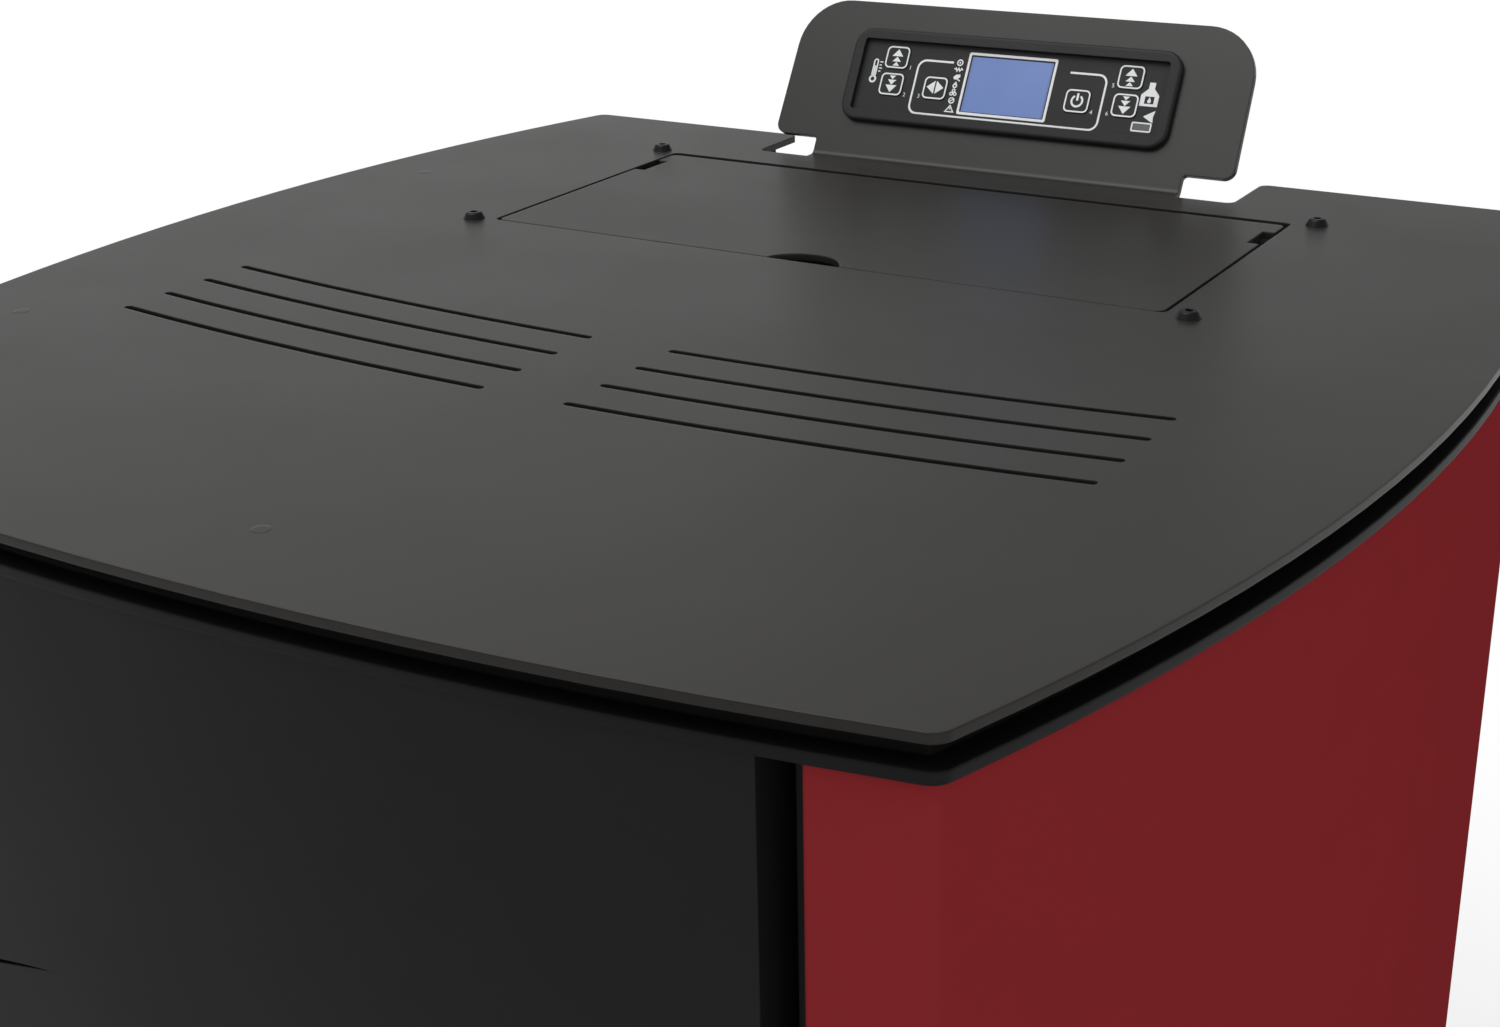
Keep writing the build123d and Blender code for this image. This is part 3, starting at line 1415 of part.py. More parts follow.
# --- Exhaust housing: spiral scroll whose radius grows by a step each quarter turn ---
def scroll_outline(inset):
    """Section of the scroll drawn in by inset, with its straight throat running down."""
    first = (scroll_x, scroll_z)
    second = (scroll_x - scroll_step, scroll_z)
    third = (scroll_x - scroll_step, scroll_z - scroll_step)
    outer_x = third[0] - scroll_r - 2 * scroll_step + inset
    inner_x = outer_x + scroll_throat - 2 * inset
    with BuildSketch() as section:
        with BuildLine():
            quarter = CenterArc(first, scroll_r - inset, -90, 90)
            CenterArc(second, scroll_r + scroll_step - inset, 0, 90)
            last = CenterArc(third, scroll_r + 2 * scroll_step - inset, 90, 90)
            Polyline(
                last @ 1,
                (outer_x, scroll_foot_z),
                (inner_x, scroll_foot_z),
                (inner_x, scroll_z - scroll_r / 2),
                (scroll_x, scroll_z - scroll_r / 2),
                quarter @ 0,
            )
        make_face()
    return section.sketch


with BuildPart() as exhaust_housing:
    with BuildSketch(Plane.XZ):
        add(scroll_outline(0))
        with Locations((scroll_x, scroll_z)):
            Circle(scroll_r)
    extrude(amount=-scroll_depth)
    with BuildSketch(Plane.XZ.offset(-scroll_t)):
        add(scroll_outline(scroll_t))
        with Locations((scroll_x, scroll_z)):
            Circle(scroll_r - scroll_t)
    extrude(amount=2 * scroll_t - scroll_depth, mode=Mode.SUBTRACT)
    with BuildSketch(Plane.XZ):
        with Locations((scroll_x, scroll_z)):
            Circle(port_r)
    extrude(amount=-scroll_t, mode=Mode.SUBTRACT)
    with BuildSketch(Plane.XZ.offset(scroll_t - scroll_depth)):
        with Locations((scroll_x, scroll_z)):
            Circle(impeller_shaft_r + pivot_clear)
    extrude(amount=-scroll_t, mode=Mode.SUBTRACT)
    mouth_x = scroll_x - 3 * scroll_step - scroll_r + scroll_throat / 2
    with BuildSketch(Plane.XY.offset(scroll_foot_z)):
        with Locations((mouth_x, scroll_depth / 2)):
            Rectangle(scroll_throat - 2 * scroll_t, scroll_depth - 2 * scroll_t)
    extrude(amount=2 * scroll_t, mode=Mode.SUBTRACT)
exhaust_housing.part.label = "exhaust_housing"
export_step(exhaust_housing.part, "parts/exhaust_housing.step")

# --- Exhaust impeller: back plate with radial blades on the motor's shaft ---
impeller_front_y = (scroll_depth - impeller_w) / 2
impeller_back_y = impeller_front_y + impeller_w

with BuildPart() as exhaust_impeller:
    with BuildSketch(Plane.XZ.offset(-impeller_back_y)):
        with Locations((scroll_x, scroll_z)):
            Circle(impeller_r)
    extrude(amount=impeller_plate_t)
    with BuildSketch(Plane.XZ.offset(-impeller_back_y)):
        with Locations((scroll_x, scroll_z)):
            Circle(impeller_hub_r)
            with PolarLocations((impeller_r + impeller_hub_r) / 2, impeller_blades):
                Rectangle(impeller_r - impeller_hub_r + impeller_plate_t, impeller_plate_t)
    extrude(amount=impeller_w)
    with BuildSketch(Plane.XZ.offset(-impeller_back_y)):
        with Locations((scroll_x, scroll_z)):
            Circle(impeller_shaft_r)
    extrude(amount=-(scroll_depth - impeller_back_y + scroll_t))
exhaust_impeller.part.label = "exhaust_impeller"
export_step(exhaust_impeller.part, "parts/exhaust_impeller.step")

# --- Exhaust motor: round can with a stepped front boss on the back of the scroll ---
with BuildPart() as exhaust_motor:
    with BuildSketch(Plane.XZ.offset(-scroll_depth)):
        with Locations((scroll_x, scroll_z)):
            Circle(exhaust_can_r)
    extrude(amount=-exhaust_can_l)
    fillet(exhaust_motor.faces().sort_by(Axis.Y)[-1].edges(), 2 * scroll_t)
    with BuildSketch(Plane.XZ.offset(-scroll_depth)):
        with Locations((scroll_x, scroll_z)):
            Circle(impeller_shaft_r + pivot_clear)
    extrude(amount=-(scroll_t + scroll_t), mode=Mode.SUBTRACT)
exhaust_motor.part.label = "exhaust_motor"
export_step(exhaust_motor.part, "parts/exhaust_motor.step")

# --- Flue box: duct from the scroll's throat to the round spigot at the back ---
with BuildPart() as flue_box:
    with BuildSketch(Plane.XY.offset(flue_box_low_z)):
        span(flue_x - flue_box_half, flue_x + flue_box_half, 0, flue_box_depth)
    extrude(amount=scroll_foot_z - flue_box_low_z)
    fillet(flue_box.edges().filter_by(Axis.Z), 2 * flue_wall)
    with BuildSketch(Plane.XZ.offset(-flue_box_depth)):
        with Locations((flue_x, flue_z)):
            Circle(flue_r - flue_swage)
    extrude(amount=-(flue_end_y - flue_box_depth))
    with BuildSketch(Plane.XZ.offset(-flue_end_y)):
        with Locations((flue_x, flue_z)):
            Circle(flue_r)
    extrude(amount=flue_end_y - panel_back_y - flue_neck)
    with BuildSketch(Plane.XY.offset(flue_box_low_z + flue_wall)):
        span(
            flue_x - flue_box_half + flue_wall,
            flue_x + flue_box_half - flue_wall,
            flue_wall,
            flue_box_depth - flue_wall,
        )
    extrude(amount=scroll_foot_z - flue_box_low_z - 2 * flue_wall, mode=Mode.SUBTRACT)
    with BuildSketch(Plane.XY.offset(scroll_foot_z)):
        with Locations((mouth_x, scroll_depth / 2)):
            Rectangle(scroll_throat - 2 * scroll_t, scroll_depth - 2 * scroll_t)
    extrude(amount=-flue_wall, mode=Mode.SUBTRACT)
    with BuildSketch(Plane.XZ.offset(-flue_end_y)):
        with Locations((flue_x, flue_z)):
            Circle(flue_r - flue_swage - flue_wall)
    extrude(amount=flue_end_y - flue_box_depth + flue_wall, mode=Mode.SUBTRACT)
flue_box.part.label = "flue_box"
export_step(flue_box.part, "parts/flue_box.step")

# --- Air intake: pipe from the pot holder to the back ---
with BuildPart() as air_intake:
    with BuildSketch(Plane.XZ.offset(-intake_end_y)):
        with Locations((intake_x, intake_z)):
            Circle(intake_r - intake_swage)
    extrude(amount=intake_end_y - holder_back_y + holder_t)
    with BuildSketch(Plane.XZ.offset(-intake_end_y)):
        with Locations((intake_x, intake_z)):
            Circle(intake_r)
    extrude(amount=intake_end_y - panel_back_y - intake_neck)
    with BuildSketch(Plane.XZ.offset(-intake_end_y)):
        with Locations((intake_x, intake_z)):
            Circle(intake_r - intake_swage - intake_wall)
    extrude(amount=intake_end_y - holder_back_y + holder_t, mode=Mode.SUBTRACT)
air_intake.part.label = "air_intake"
export_step(air_intake.part, "parts/air_intake.step")

# --- Igniter: cartridge heater with a mounting flange on the firebox's back ---
with BuildPart() as igniter:
    with BuildSketch(Plane.XZ.offset(-igniter_tail_y)):
        with Locations((igniter_x, igniter_z)):
            Circle(igniter_r)
    extrude(amount=igniter_tail_y - igniter_tip_y)
    with BuildSketch(Plane.XZ.offset(-firebox_back_y)):
        with Locations((igniter_x, igniter_z)):
            Circle(igniter_flange_r)
    extrude(amount=-igniter_flange_t)
igniter.part.label = "igniter"
export_step(igniter.part, "parts/igniter.step")

# --- Room fan housing: end plates, swirl wall and duct round the impeller, with its motor ---
def fan_section(inset):
    """Section of the swirl and its upright duct, drawn in by inset."""
    with BuildSketch() as section:
        with Locations((fan_y, fan_z)):
            Circle(fan_y - inset)
        span(inset, fan_duct_y + fan_wall - inset, fan_z, deck_z - plate_t)
    return section.sketch


with BuildPart() as room_fan_housing:
    with BuildSketch(Plane.YZ.offset(fan_left_x)):
        add(fan_section(0))
        add(fan_section(fan_wall), mode=Mode.SUBTRACT)
        span(fan_y + fan_inlet, 2 * back_y, base_z, fan_z + fan_y, mode=Mode.SUBTRACT)
    extrude(amount=fan_right_x - fan_left_x)
    for x in (fan_left_x, fan_right_x - fan_wall):
        with BuildSketch(Plane.YZ.offset(x)):
            add(fan_section(0))
            span(fan_y - fan_foot_half, fan_y + fan_foot_half, base_top_z, fan_z)
            with Locations((fan_y, fan_z)):
                Circle(fan_shaft_r + pivot_clear, mode=Mode.SUBTRACT)
        extrude(amount=fan_wall)
    with BuildSketch(Plane.YZ.offset(fan_left_x)):
        with Locations((fan_y, fan_z)):
            Circle(fan_can_r)
    extrude(amount=-fan_can_l)
    fillet(room_fan_housing.faces().sort_by(Axis.X)[0].edges(), 2 * fan_wall)
    with BuildSketch(Plane.YZ.offset(fan_left_x)):
        with Locations((fan_y, fan_z)):
            Circle(fan_shaft_r + pivot_clear)
    extrude(amount=-(fan_bearing + fan_end_clear), mode=Mode.SUBTRACT)
room_fan_housing.part.label = "room_fan_housing"
export_step(room_fan_housing.part, "parts/room_fan_housing.step")

# --- Room fan impeller: long drum of slanted blades between three discs on a shaft ---
drum_left_x = fan_left_x + fan_wall + fan_end_clear
drum_right_x = fan_right_x - fan_wall - fan_end_clear
drum_mid_x = (drum_left_x + drum_right_x - fan_disc_t) / 2

with BuildPart() as room_fan_impeller:
    with BuildSketch(Plane.YZ.offset(drum_left_x)):
        with Locations((fan_y, fan_z)):
            with PolarLocations(fan_impeller_r - fan_blade_w / 2, fan_blades):
                Rectangle(fan_blade_w, fan_blade_t, rotation=fan_blade_pitch)
    extrude(amount=drum_right_x - drum_left_x)
    for x in (drum_left_x, drum_mid_x, drum_right_x - fan_disc_t):
        with BuildSketch(Plane.YZ.offset(x)):
            with Locations((fan_y, fan_z)):
                Circle(fan_impeller_r)
        extrude(amount=fan_disc_t)
    with BuildSketch(Plane.YZ.offset(fan_left_x - fan_bearing)):
        with Locations((fan_y, fan_z)):
            Circle(fan_shaft_r)
    extrude(amount=fan_right_x - fan_left_x + fan_bearing)
room_fan_impeller.part.label = "room_fan_impeller"
export_step(room_fan_impeller.part, "parts/room_fan_impeller.step")

# --- Control board: tray on the chassis with terminals, relays and a capacitor ---
tray_x = chassis_x - board_tray_deep
tray_y, tray_z = board_tray

with BuildPart() as control_board:
    with BuildSketch(Plane.YZ.offset(chassis_x)):
        with Locations((board_y, board_z)):
            RectangleRounded(tray_y, tray_z, 2 * board_tray_t)
    extrude(amount=-board_tray_deep)
    with BuildSketch(Plane.YZ.offset(tray_x)):
        with Locations((board_y, board_z)):
            Rectangle(tray_y - 2 * board_tray_t, tray_z - 2 * board_tray_t)
    extrude(amount=board_tray_deep - 2 * board_tray_t, mode=Mode.SUBTRACT)
    with BuildSketch(Plane.YZ.offset(chassis_x - 2 * board_tray_t)):
        with Locations((board_y, board_z + tray_z / 3)):
            with GridLocations(relay_pitch, 0, relay_count, 1):
                Rectangle(relay_w, relay_h)
        with Locations((board_y, board_z - tray_z / 3)):
            Rectangle(tray_y - 6 * board_tray_t, relay_w)
    extrude(amount=-relay_rise)
    with BuildSketch(Plane.YZ.offset(chassis_x - 2 * board_tray_t)):
        with Locations((board_y, board_z)):
            Circle(relay_w / 2)
    extrude(amount=-relay_rise)
control_board.part.label = "control_board"
export_step(control_board.part, "parts/control_board.step")

# --- Mains inlet: flanged module with a three-pin inlet recess and the switch's recess ---
cover_y = chassis_back_y + sheet_t
socket_z = inlet_z - inlet_h / 4 + inlet_flange
switch_z = inlet_z + inlet_h / 4 + inlet_flange / 2

with BuildPart() as mains_inlet:
    with BuildSketch(Plane.XZ.offset(-cover_y)):
        with Locations((inlet_x, inlet_z)):
            RectangleRounded(inlet_w + 2 * inlet_flange, inlet_h + 2 * inlet_flange, inlet_flange)
    extrude(amount=-inlet_rise)
    with BuildSketch(Plane.XZ.offset(-cover_y)):
        with Locations((inlet_x, inlet_z)):
            Rectangle(inlet_w, inlet_h)
    extrude(amount=inlet_deep)
    with BuildSketch(Plane.XZ.offset(-cover_y - inlet_rise)):
        with BuildLine():
            Polyline(*((inlet_x + socket_w * x, socket_z + socket_h * z) for x, z in socket_shape), close=True)
        make_face()
    extrude(amount=socket_deep, mode=Mode.SUBTRACT)
    with BuildSketch(Plane.XZ.offset(socket_deep - cover_y - inlet_rise)):
        with Locations((inlet_x, socket_z + socket_h / 6)):
            Rectangle(socket_pin_t, socket_pin_w)
        with Locations((inlet_x, socket_z - socket_h / 8)):
            with GridLocations(socket_pin_pitch, 0, 2, 1):
                Rectangle(socket_pin_t, socket_pin_w)
    extrude(amount=-socket_pin_l)
    with BuildSketch(Plane.XZ.offset(-cover_y - inlet_rise)):
        with Locations((inlet_x, switch_z)):
            Rectangle(rocker_w + 2 * fit_clear, rocker_h + 2 * rocker_side)
    extrude(amount=rocker_deep + inlet_rise, mode=Mode.SUBTRACT)
mains_inlet.part.label = "mains_inlet"
export_step(mains_inlet.part, "parts/mains_inlet.step")

# --- Rocker: two-faced switch cap, tipping about its cross pin ---
tip_sin = sin(radians(rocker_tip))
tip_cos = cos(radians(rocker_tip))
rocker_plane = Plane(origin=(inlet_x, cover_y, switch_z), x_dir=(0, tip_sin, tip_cos), z_dir=(-1, 0, 0))

with BuildPart() as rocker:
    with BuildSketch(rocker_plane.offset(-rocker_w / 2)):
        with BuildLine():
            Polyline(
                (-rocker_h / 2, 0),
                (rocker_h / 2, 0),
                (rocker_h / 2, rocker_rise),
                (0, rocker_rise - rocker_dip),
                (-rocker_h / 2, rocker_rise),
                close=True,
            )
        make_face()
        Circle(rocker_rise / 2)
    extrude(amount=rocker_w)
rocker.part.label = "rocker"
export_step(rocker.part, "parts/rocker.step")

# --- Safety thermostat: threaded nose with a nut flange through the rear panel, and a body ---
with BuildPart() as thermostat_body:
    with BuildSketch(Plane.XZ.offset(-chassis_back_y)):
        with Locations((reset_x, reset_z)):
            RectangleRounded(reset_body, reset_body, reset_r / 2)
    extrude(amount=reset_body_deep)
    with BuildSketch(Plane.XZ.offset(-chassis_back_y)):
        with Locations((reset_x, reset_z)):
            Circle(reset_r)
    extrude(amount=-(sheet_t + reset_nose))
    with BuildSketch(Plane.XZ.offset(-cover_y)):
        with Locations((reset_x, reset_z)):
            RegularPolygon(reset_nut_r, 6)
            Circle(reset_r, mode=Mode.SUBTRACT)
    extrude(amount=-reset_nut_h)
    with BuildSketch(Plane.XZ.offset(-chassis_back_y - sheet_t - reset_nose)):
        with Locations((reset_x, reset_z)):
            Circle(reset_button_r + pivot_clear)
    extrude(amount=reset_bore, mode=Mode.SUBTRACT)
thermostat_body.part.label = "thermostat_body"
export_step(thermostat_body.part, "parts/thermostat_body.step")

# --- Reset button: round plunger in the thermostat's nose ---
with BuildPart() as thermostat_button:
    with BuildSketch(Plane.XZ.offset(-cover_y - reset_nose - reset_rise)):
        with Locations((reset_x, reset_z)):
            Circle(reset_button_r)
    extrude(amount=reset_rise + reset_bore - reset_travel - fit_clear)
    chamfer(thermostat_button.faces().sort_by(Axis.Y)[-1].edges(), reset_button_r / 6)
thermostat_button.part.label = "thermostat_button"
export_step(thermostat_button.part, "parts/thermostat_button.step")
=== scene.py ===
import bpy
import bmesh
import math
from mathutils import Matrix, Vector
from mathutils.geometry import tessellate_polygon


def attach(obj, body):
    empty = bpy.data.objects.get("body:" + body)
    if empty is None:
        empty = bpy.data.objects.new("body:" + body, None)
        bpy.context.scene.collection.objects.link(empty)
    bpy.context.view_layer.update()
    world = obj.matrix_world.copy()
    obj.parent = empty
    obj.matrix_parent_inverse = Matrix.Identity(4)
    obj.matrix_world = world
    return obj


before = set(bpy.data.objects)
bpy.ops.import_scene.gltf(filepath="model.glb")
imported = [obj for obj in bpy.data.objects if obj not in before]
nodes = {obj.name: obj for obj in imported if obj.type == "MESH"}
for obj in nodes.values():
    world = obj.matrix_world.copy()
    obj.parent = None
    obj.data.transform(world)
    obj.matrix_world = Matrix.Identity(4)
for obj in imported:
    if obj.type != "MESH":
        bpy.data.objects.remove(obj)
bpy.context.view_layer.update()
scene = bpy.context.scene
MM = 0.001

# ---------------------------------------------------------------- camera, as the photo's
CAMERA_PLACE = (0.41746, -0.67620, 1.25000)
CAMERA_YAW = math.radians(31.517)
CAMERA_PITCH = math.radians(21.913)
CAMERA_ROLL = math.radians(-1.240)
CAMERA_LENS = 52.628
SENSOR_WIDTH = 36.0


def make_camera():
    """Stands to the right of the stove's front and looks down on its top plate."""
    cos_yaw, sin_yaw = math.cos(CAMERA_YAW), math.sin(CAMERA_YAW)
    cos_pitch, sin_pitch = math.cos(CAMERA_PITCH), math.sin(CAMERA_PITCH)
    cos_roll, sin_roll = math.cos(CAMERA_ROLL), math.sin(CAMERA_ROLL)
    ahead = Vector((-sin_yaw * cos_pitch, cos_yaw * cos_pitch, -sin_pitch))
    level = Vector((cos_yaw, sin_yaw, 0))
    up = level.cross(ahead)
    side = cos_roll * level + sin_roll * up
    top = -sin_roll * level + cos_roll * up
    data = bpy.data.cameras.new("camera")
    data.sensor_fit = "HORIZONTAL"
    data.sensor_width = SENSOR_WIDTH
    data.lens = CAMERA_LENS
    data.clip_start = 0.02
    data.clip_end = 60.0
    camera = bpy.data.objects.new("camera", data)
    scene.collection.objects.link(camera)
    turn = Matrix((side, top, -ahead)).transposed().to_4x4()
    camera.matrix_world = Matrix.Translation(CAMERA_PLACE) @ turn
    scene.camera = camera


make_camera()


# ---------------------------------------------------------------- colours and nodes
def linear(level):
    """The linear value of one 8-bit sRGB level."""
    share = level / 255
    return share / 12.92 if share <= 0.04045 else ((share + 0.055) / 1.055) ** 2.4


def srgb(r, g, b):
    """A linear colour from 8-bit sRGB levels."""
    return linear(r), linear(g), linear(b)


def times(color, k):
    """A colour made lighter or darker, and no lighter than white."""
    return tuple(min(1.0, c * k) for c in color)


def add_node(tree, kind, values=None, **props):
    """A new node, with these properties and with these values in its inputs."""
    node = tree.nodes.new(kind)
    for key, value in props.items():
        setattr(node, key, value)
    for key, value in (values or {}).items():
        node.inputs[key].default_value = value
    return node


def add_ramp(tree, value, low, high, out_low=0.0, out_high=1.0, smooth=False):
    """A node that maps low..high to out_low..out_high and holds the ends."""
    node = add_node(
        tree,
        "ShaderNodeMapRange",
        {"From Min": low, "From Max": high, "To Min": out_low, "To Max": out_high},
        interpolation_type="SMOOTHSTEP" if smooth else "LINEAR",
    )
    tree.links.new(value, node.inputs["Value"])
    return node


class Look:
    """One procedural material: a Principled shader with the pieces of texture added to it."""

    def __init__(self, name, color, rough=0.5, metallic=0.0, spec=0.5):
        self.mat = bpy.data.materials.new(name)
        self.mat.use_nodes = True
        self.mat.diffuse_color = (*color, 1)
        self.tree = self.mat.node_tree
        self.bsdf = self.tree.nodes["Principled BSDF"]
        self.color = color
        self.set("Base Color", (*color, 1))
        self.set("Roughness", rough)
        self.set("Metallic", metallic)
        self.set("Specular IOR Level", spec)
        self.coords = self.new("ShaderNodeTexCoord").outputs["Object"]
        self.normal = None
        self.tint = None

    def new(self, kind, values=None, **props):
        return add_node(self.tree, kind, values, **props)

    def link(self, a, b):
        self.tree.links.new(a, b)

    def set(self, socket, value):
        self.bsdf.inputs[socket].default_value = value

    # masks and other values
    def stretched(self, stretch):
        """The texture's coordinates, scaled along each axis."""
        if stretch is None:
            return self.coords
        node = self.new("ShaderNodeMapping", {"Scale": stretch})
        self.link(self.coords, node.inputs["Vector"])
        return node.outputs["Vector"]

    def noise(self, scale, detail=3.0, rough=0.55, stretch=None):
        node = self.new("ShaderNodeTexNoise", {"Scale": scale, "Detail": detail, "Roughness": rough})
        self.link(self.stretched(stretch), node.inputs["Vector"])
        return node.outputs["Fac"]

    def cells(self, scale, feature="F1", out="Distance", random=1.0):
        node = self.new("ShaderNodeTexVoronoi", {"Scale": scale, "Randomness": random}, feature=feature)
        self.link(self.coords, node.inputs["Vector"])
        return node.outputs[out]

    def wave(self, scale, direction, distort=0.0, stretch=None):
        """Bands with a soft profile, one after the other along a direction."""
        values = {"Scale": scale, "Distortion": distort}
        node = self.new("ShaderNodeTexWave", values, bands_direction=direction)
        self.link(self.stretched(stretch), node.inputs["Vector"])
        return node.outputs["Fac"]

    def ramp(self, value, low, high, out_low=0.0, out_high=1.0, smooth=False):
        return add_ramp(self.tree, value, low, high, out_low, out_high, smooth).outputs["Result"]

    def math(self, kind, a, b=None):
        node = self.new("ShaderNodeMath", operation=kind)
        for slot, value in enumerate((a, b)):
            if value is None:
                continue
            if isinstance(value, (int, float)):
                node.inputs[slot].default_value = value
            else:
                self.link(value, node.inputs[slot])
        return node.outputs[0]

    def axis(self, letter):
        """The piece's own coordinate along an axis, in metres."""
        node = self.new("ShaderNodeSeparateXYZ")
        self.link(self.coords, node.inputs[0])
        return node.outputs[letter]

    def edge(self, radius):
        """White where a surface turns over an edge."""
        soft = self.new("ShaderNodeBevel", {"Radius": radius}, samples=4)
        flat = self.new("ShaderNodeNewGeometry")
        dot = self.new("ShaderNodeVectorMath", operation="DOT_PRODUCT")
        self.link(soft.outputs["Normal"], dot.inputs[0])
        self.link(flat.outputs["True Normal"], dot.inputs[1])
        return self.ramp(dot.outputs["Value"], 0.99, 0.72)

    def upright(self):
        """White where a face stands upright, as the cut edges of a level sheet do."""
        face = self.new("ShaderNodeNewGeometry")
        parts = self.new("ShaderNodeSeparateXYZ")
        self.link(face.outputs["Normal"], parts.inputs[0])
        return self.ramp(self.math("ABSOLUTE", parts.outputs["Z"]), 0.35, 0.10)

    # changes of the shader
    def paint(self, mask, color):
        """Mixes a colour over what is there, where the mask is white."""
        node = self.new("ShaderNodeMix", data_type="RGBA")
        if self.tint is None:
            node.inputs["A"].default_value = (*self.color, 1)
        else:
            self.link(self.tint, node.inputs["A"])
        node.inputs["B"].default_value = (*color, 1)
        self.link(mask, node.inputs["Factor"])
        self.tint = node.outputs["Result"]
        self.link(self.tint, self.bsdf.inputs["Base Color"])

    def mottle(self, color, scale, detail, low, high, share, rough=0.55):
        """Paints cloudy patches: none where the noise is at low, and this share where it reaches high."""
        self.paint(self.ramp(self.noise(scale, detail, rough), low, high, 0.0, share), color)

    def roughen(self, mask, low, high):
        self.link(self.ramp(mask, 0, 1, low, high), self.bsdf.inputs["Roughness"])

    def rounded(self, radius):
        """Softens the edges of the piece as the light sees them."""
        node = self.new("ShaderNodeBevel", {"Radius": radius}, samples=4)
        self.normal = node.outputs["Normal"]
        self.link(self.normal, self.bsdf.inputs["Normal"])

    def bump(self, height, depth, strength=1.0):
        node = self.new("ShaderNodeBump", {"Strength": strength, "Distance": depth})
        self.link(height, node.inputs["Height"])
        if self.normal is not None:
            self.link(self.normal, node.inputs["Normal"])
        self.normal = node.outputs["Normal"]
        self.link(self.normal, self.bsdf.inputs["Normal"])


def give(look, *names):
    """Makes a look the only material of these pieces of the CAD."""
    for name in names:
        slots = nodes[name].data.materials
        slots.clear()
        slots.append(look.mat)


# ---------------------------------------------------------------- painted metals
def powder_coat(name, color, rough, spec, grain=1.0, wear=0.25, radius=0.0006):
    """Fine-textured powder coat: cloudy tone, tiny orange peel and lighter worn edges."""
    look = Look(name, color, rough, spec=spec)
    look.rounded(radius)
    look.mottle(times(color, 1.16), scale=7.0, detail=4.0, low=0.35, high=0.75, share=0.6)
    look.mottle(times(color, 1.5), scale=900.0, detail=2.0, low=0.62, high=0.72, share=0.35)
    look.mottle(times(color, 0.8), scale=60.0, detail=5.0, low=0.5, high=0.35, share=0.25, rough=0.6)
    worn = look.math("MULTIPLY", look.edge(0.0007), look.ramp(look.noise(150.0, 4.0), 0.4, 0.65))
    look.paint(look.math("MULTIPLY", worn, wear), times(color, 2.6))
    look.roughen(look.noise(14.0, 3.0), rough - 0.05, rough + 0.06)
    peel = look.noise(1500.0 / grain, 2.0, 0.5)
    look.bump(peel, 0.00002 * grain, 0.7)
    return look


STUDS = ((-0.234, 0.1037), (-0.226, -0.144), (0.004, -0.2635))
STUD_R = 0.0022
STUD_FADE_R = 0.0034
STUD_RISE = 0.00022


def stud_marks(look):
    """Faint round prints of the studs that are welded under a plate."""
    flat = look.new("ShaderNodeVectorMath", {1: (1, 1, 0)}, operation="MULTIPLY")
    look.link(look.coords, flat.inputs[0])
    nearest = None
    for x, y in STUDS:
        apart = look.new("ShaderNodeVectorMath", {1: (x, y, 0)}, operation="DISTANCE")
        look.link(flat.outputs[0], apart.inputs[0])
        far = apart.outputs["Value"]
        nearest = far if nearest is None else look.math("MINIMUM", nearest, far)
    dome = look.ramp(nearest, STUD_FADE_R, STUD_R, smooth=True)
    look.bump(dome, STUD_RISE, 0.8)


TOP_BLACK = srgb(34, 32.6, 30.4)
TOP_SPEC = 0.5
CUT_EDGE_SPEC = 0.12

top_paint = powder_coat("top_paint", TOP_BLACK, 0.36, TOP_SPEC, radius=0.001)
stud_marks(top_paint)
dull_edge = top_paint.ramp(top_paint.upright(), 0.0, 1.0, TOP_SPEC, CUT_EDGE_SPEC)
top_paint.link(dull_edge, top_paint.bsdf.inputs["Specular IOR Level"])
give(top_paint, "top_plate")
give(powder_coat("lid_paint", TOP_BLACK, 0.38, TOP_SPEC, radius=0.001), "hopper_lid")

give(powder_coat("rim_paint", srgb(14, 14, 15), 0.5, 0.1, wear=0.1, radius=0.0015), "rim_plate")
give(
    powder_coat("front_paint", srgb(22, 22, 23), 0.5, 0.08, grain=0.8, wear=0.15),
    "front_panel_upper", "front_panel_lower", "drawer_front", "door_frame",
)
give(
    powder_coat("inner_paint", srgb(27, 27, 28), 0.60, 0.25, grain=1.4),
    "door_inner_frame", "firebox", "pot_holder", "flue_box", "chassis_left", "chassis_right",
)
give(powder_coat("rear_paint", srgb(34, 34, 35), 0.50, 0.3), "rear_panel", "base_plate")

RED = (0.188, 0.0178, 0.0205)
lacquer = Look("red_lacquer", RED, 0.40, spec=0.0)
lacquer.rounded(0.0012)
lacquer.mottle(times(RED, 1.07), scale=3.0, detail=3.0, low=0.3, high=0.75, share=0.5)
lacquer.mottle(times(RED, 0.86), scale=40.0, detail=4.0, low=0.42, high=0.62, share=0.12)
lacquer.roughen(lacquer.noise(18.0, 4.0), 0.36, 0.46)
lacquer.bump(lacquer.noise(420.0, 2.0, 0.4), 0.00001, 0.6)
give(lacquer, "side_panel_left", "side_panel_right")

# ---------------------------------------------------------------- bare metals
ZINC = (0.42, 0.43, 0.44)
galvanised = Look("galvanised", ZINC, 0.42, metallic=1.0)
galvanised.rounded(0.0004)
spangle = galvanised.new("ShaderNodeSeparateColor")
galvanised.link(galvanised.cells(110.0, out="Color"), spangle.inputs[0])
galvanised.paint(galvanised.ramp(spangle.outputs["Red"], 0.0, 1.0, 0.0, 0.5), times(ZINC, 1.5))
galvanised.mottle(times(ZINC, 0.62), scale=9.0, detail=4.0, low=0.45, high=0.7, share=0.35)
galvanised.roughen(spangle.outputs["Green"], 0.34, 0.56)
galvanised.bump(galvanised.noise(260.0, 3.0), 0.00002, 0.4)
give(galvanised, "mid_deck", "ash_drawer", "hopper", "auger_housing", "room_fan_housing", "air_intake")


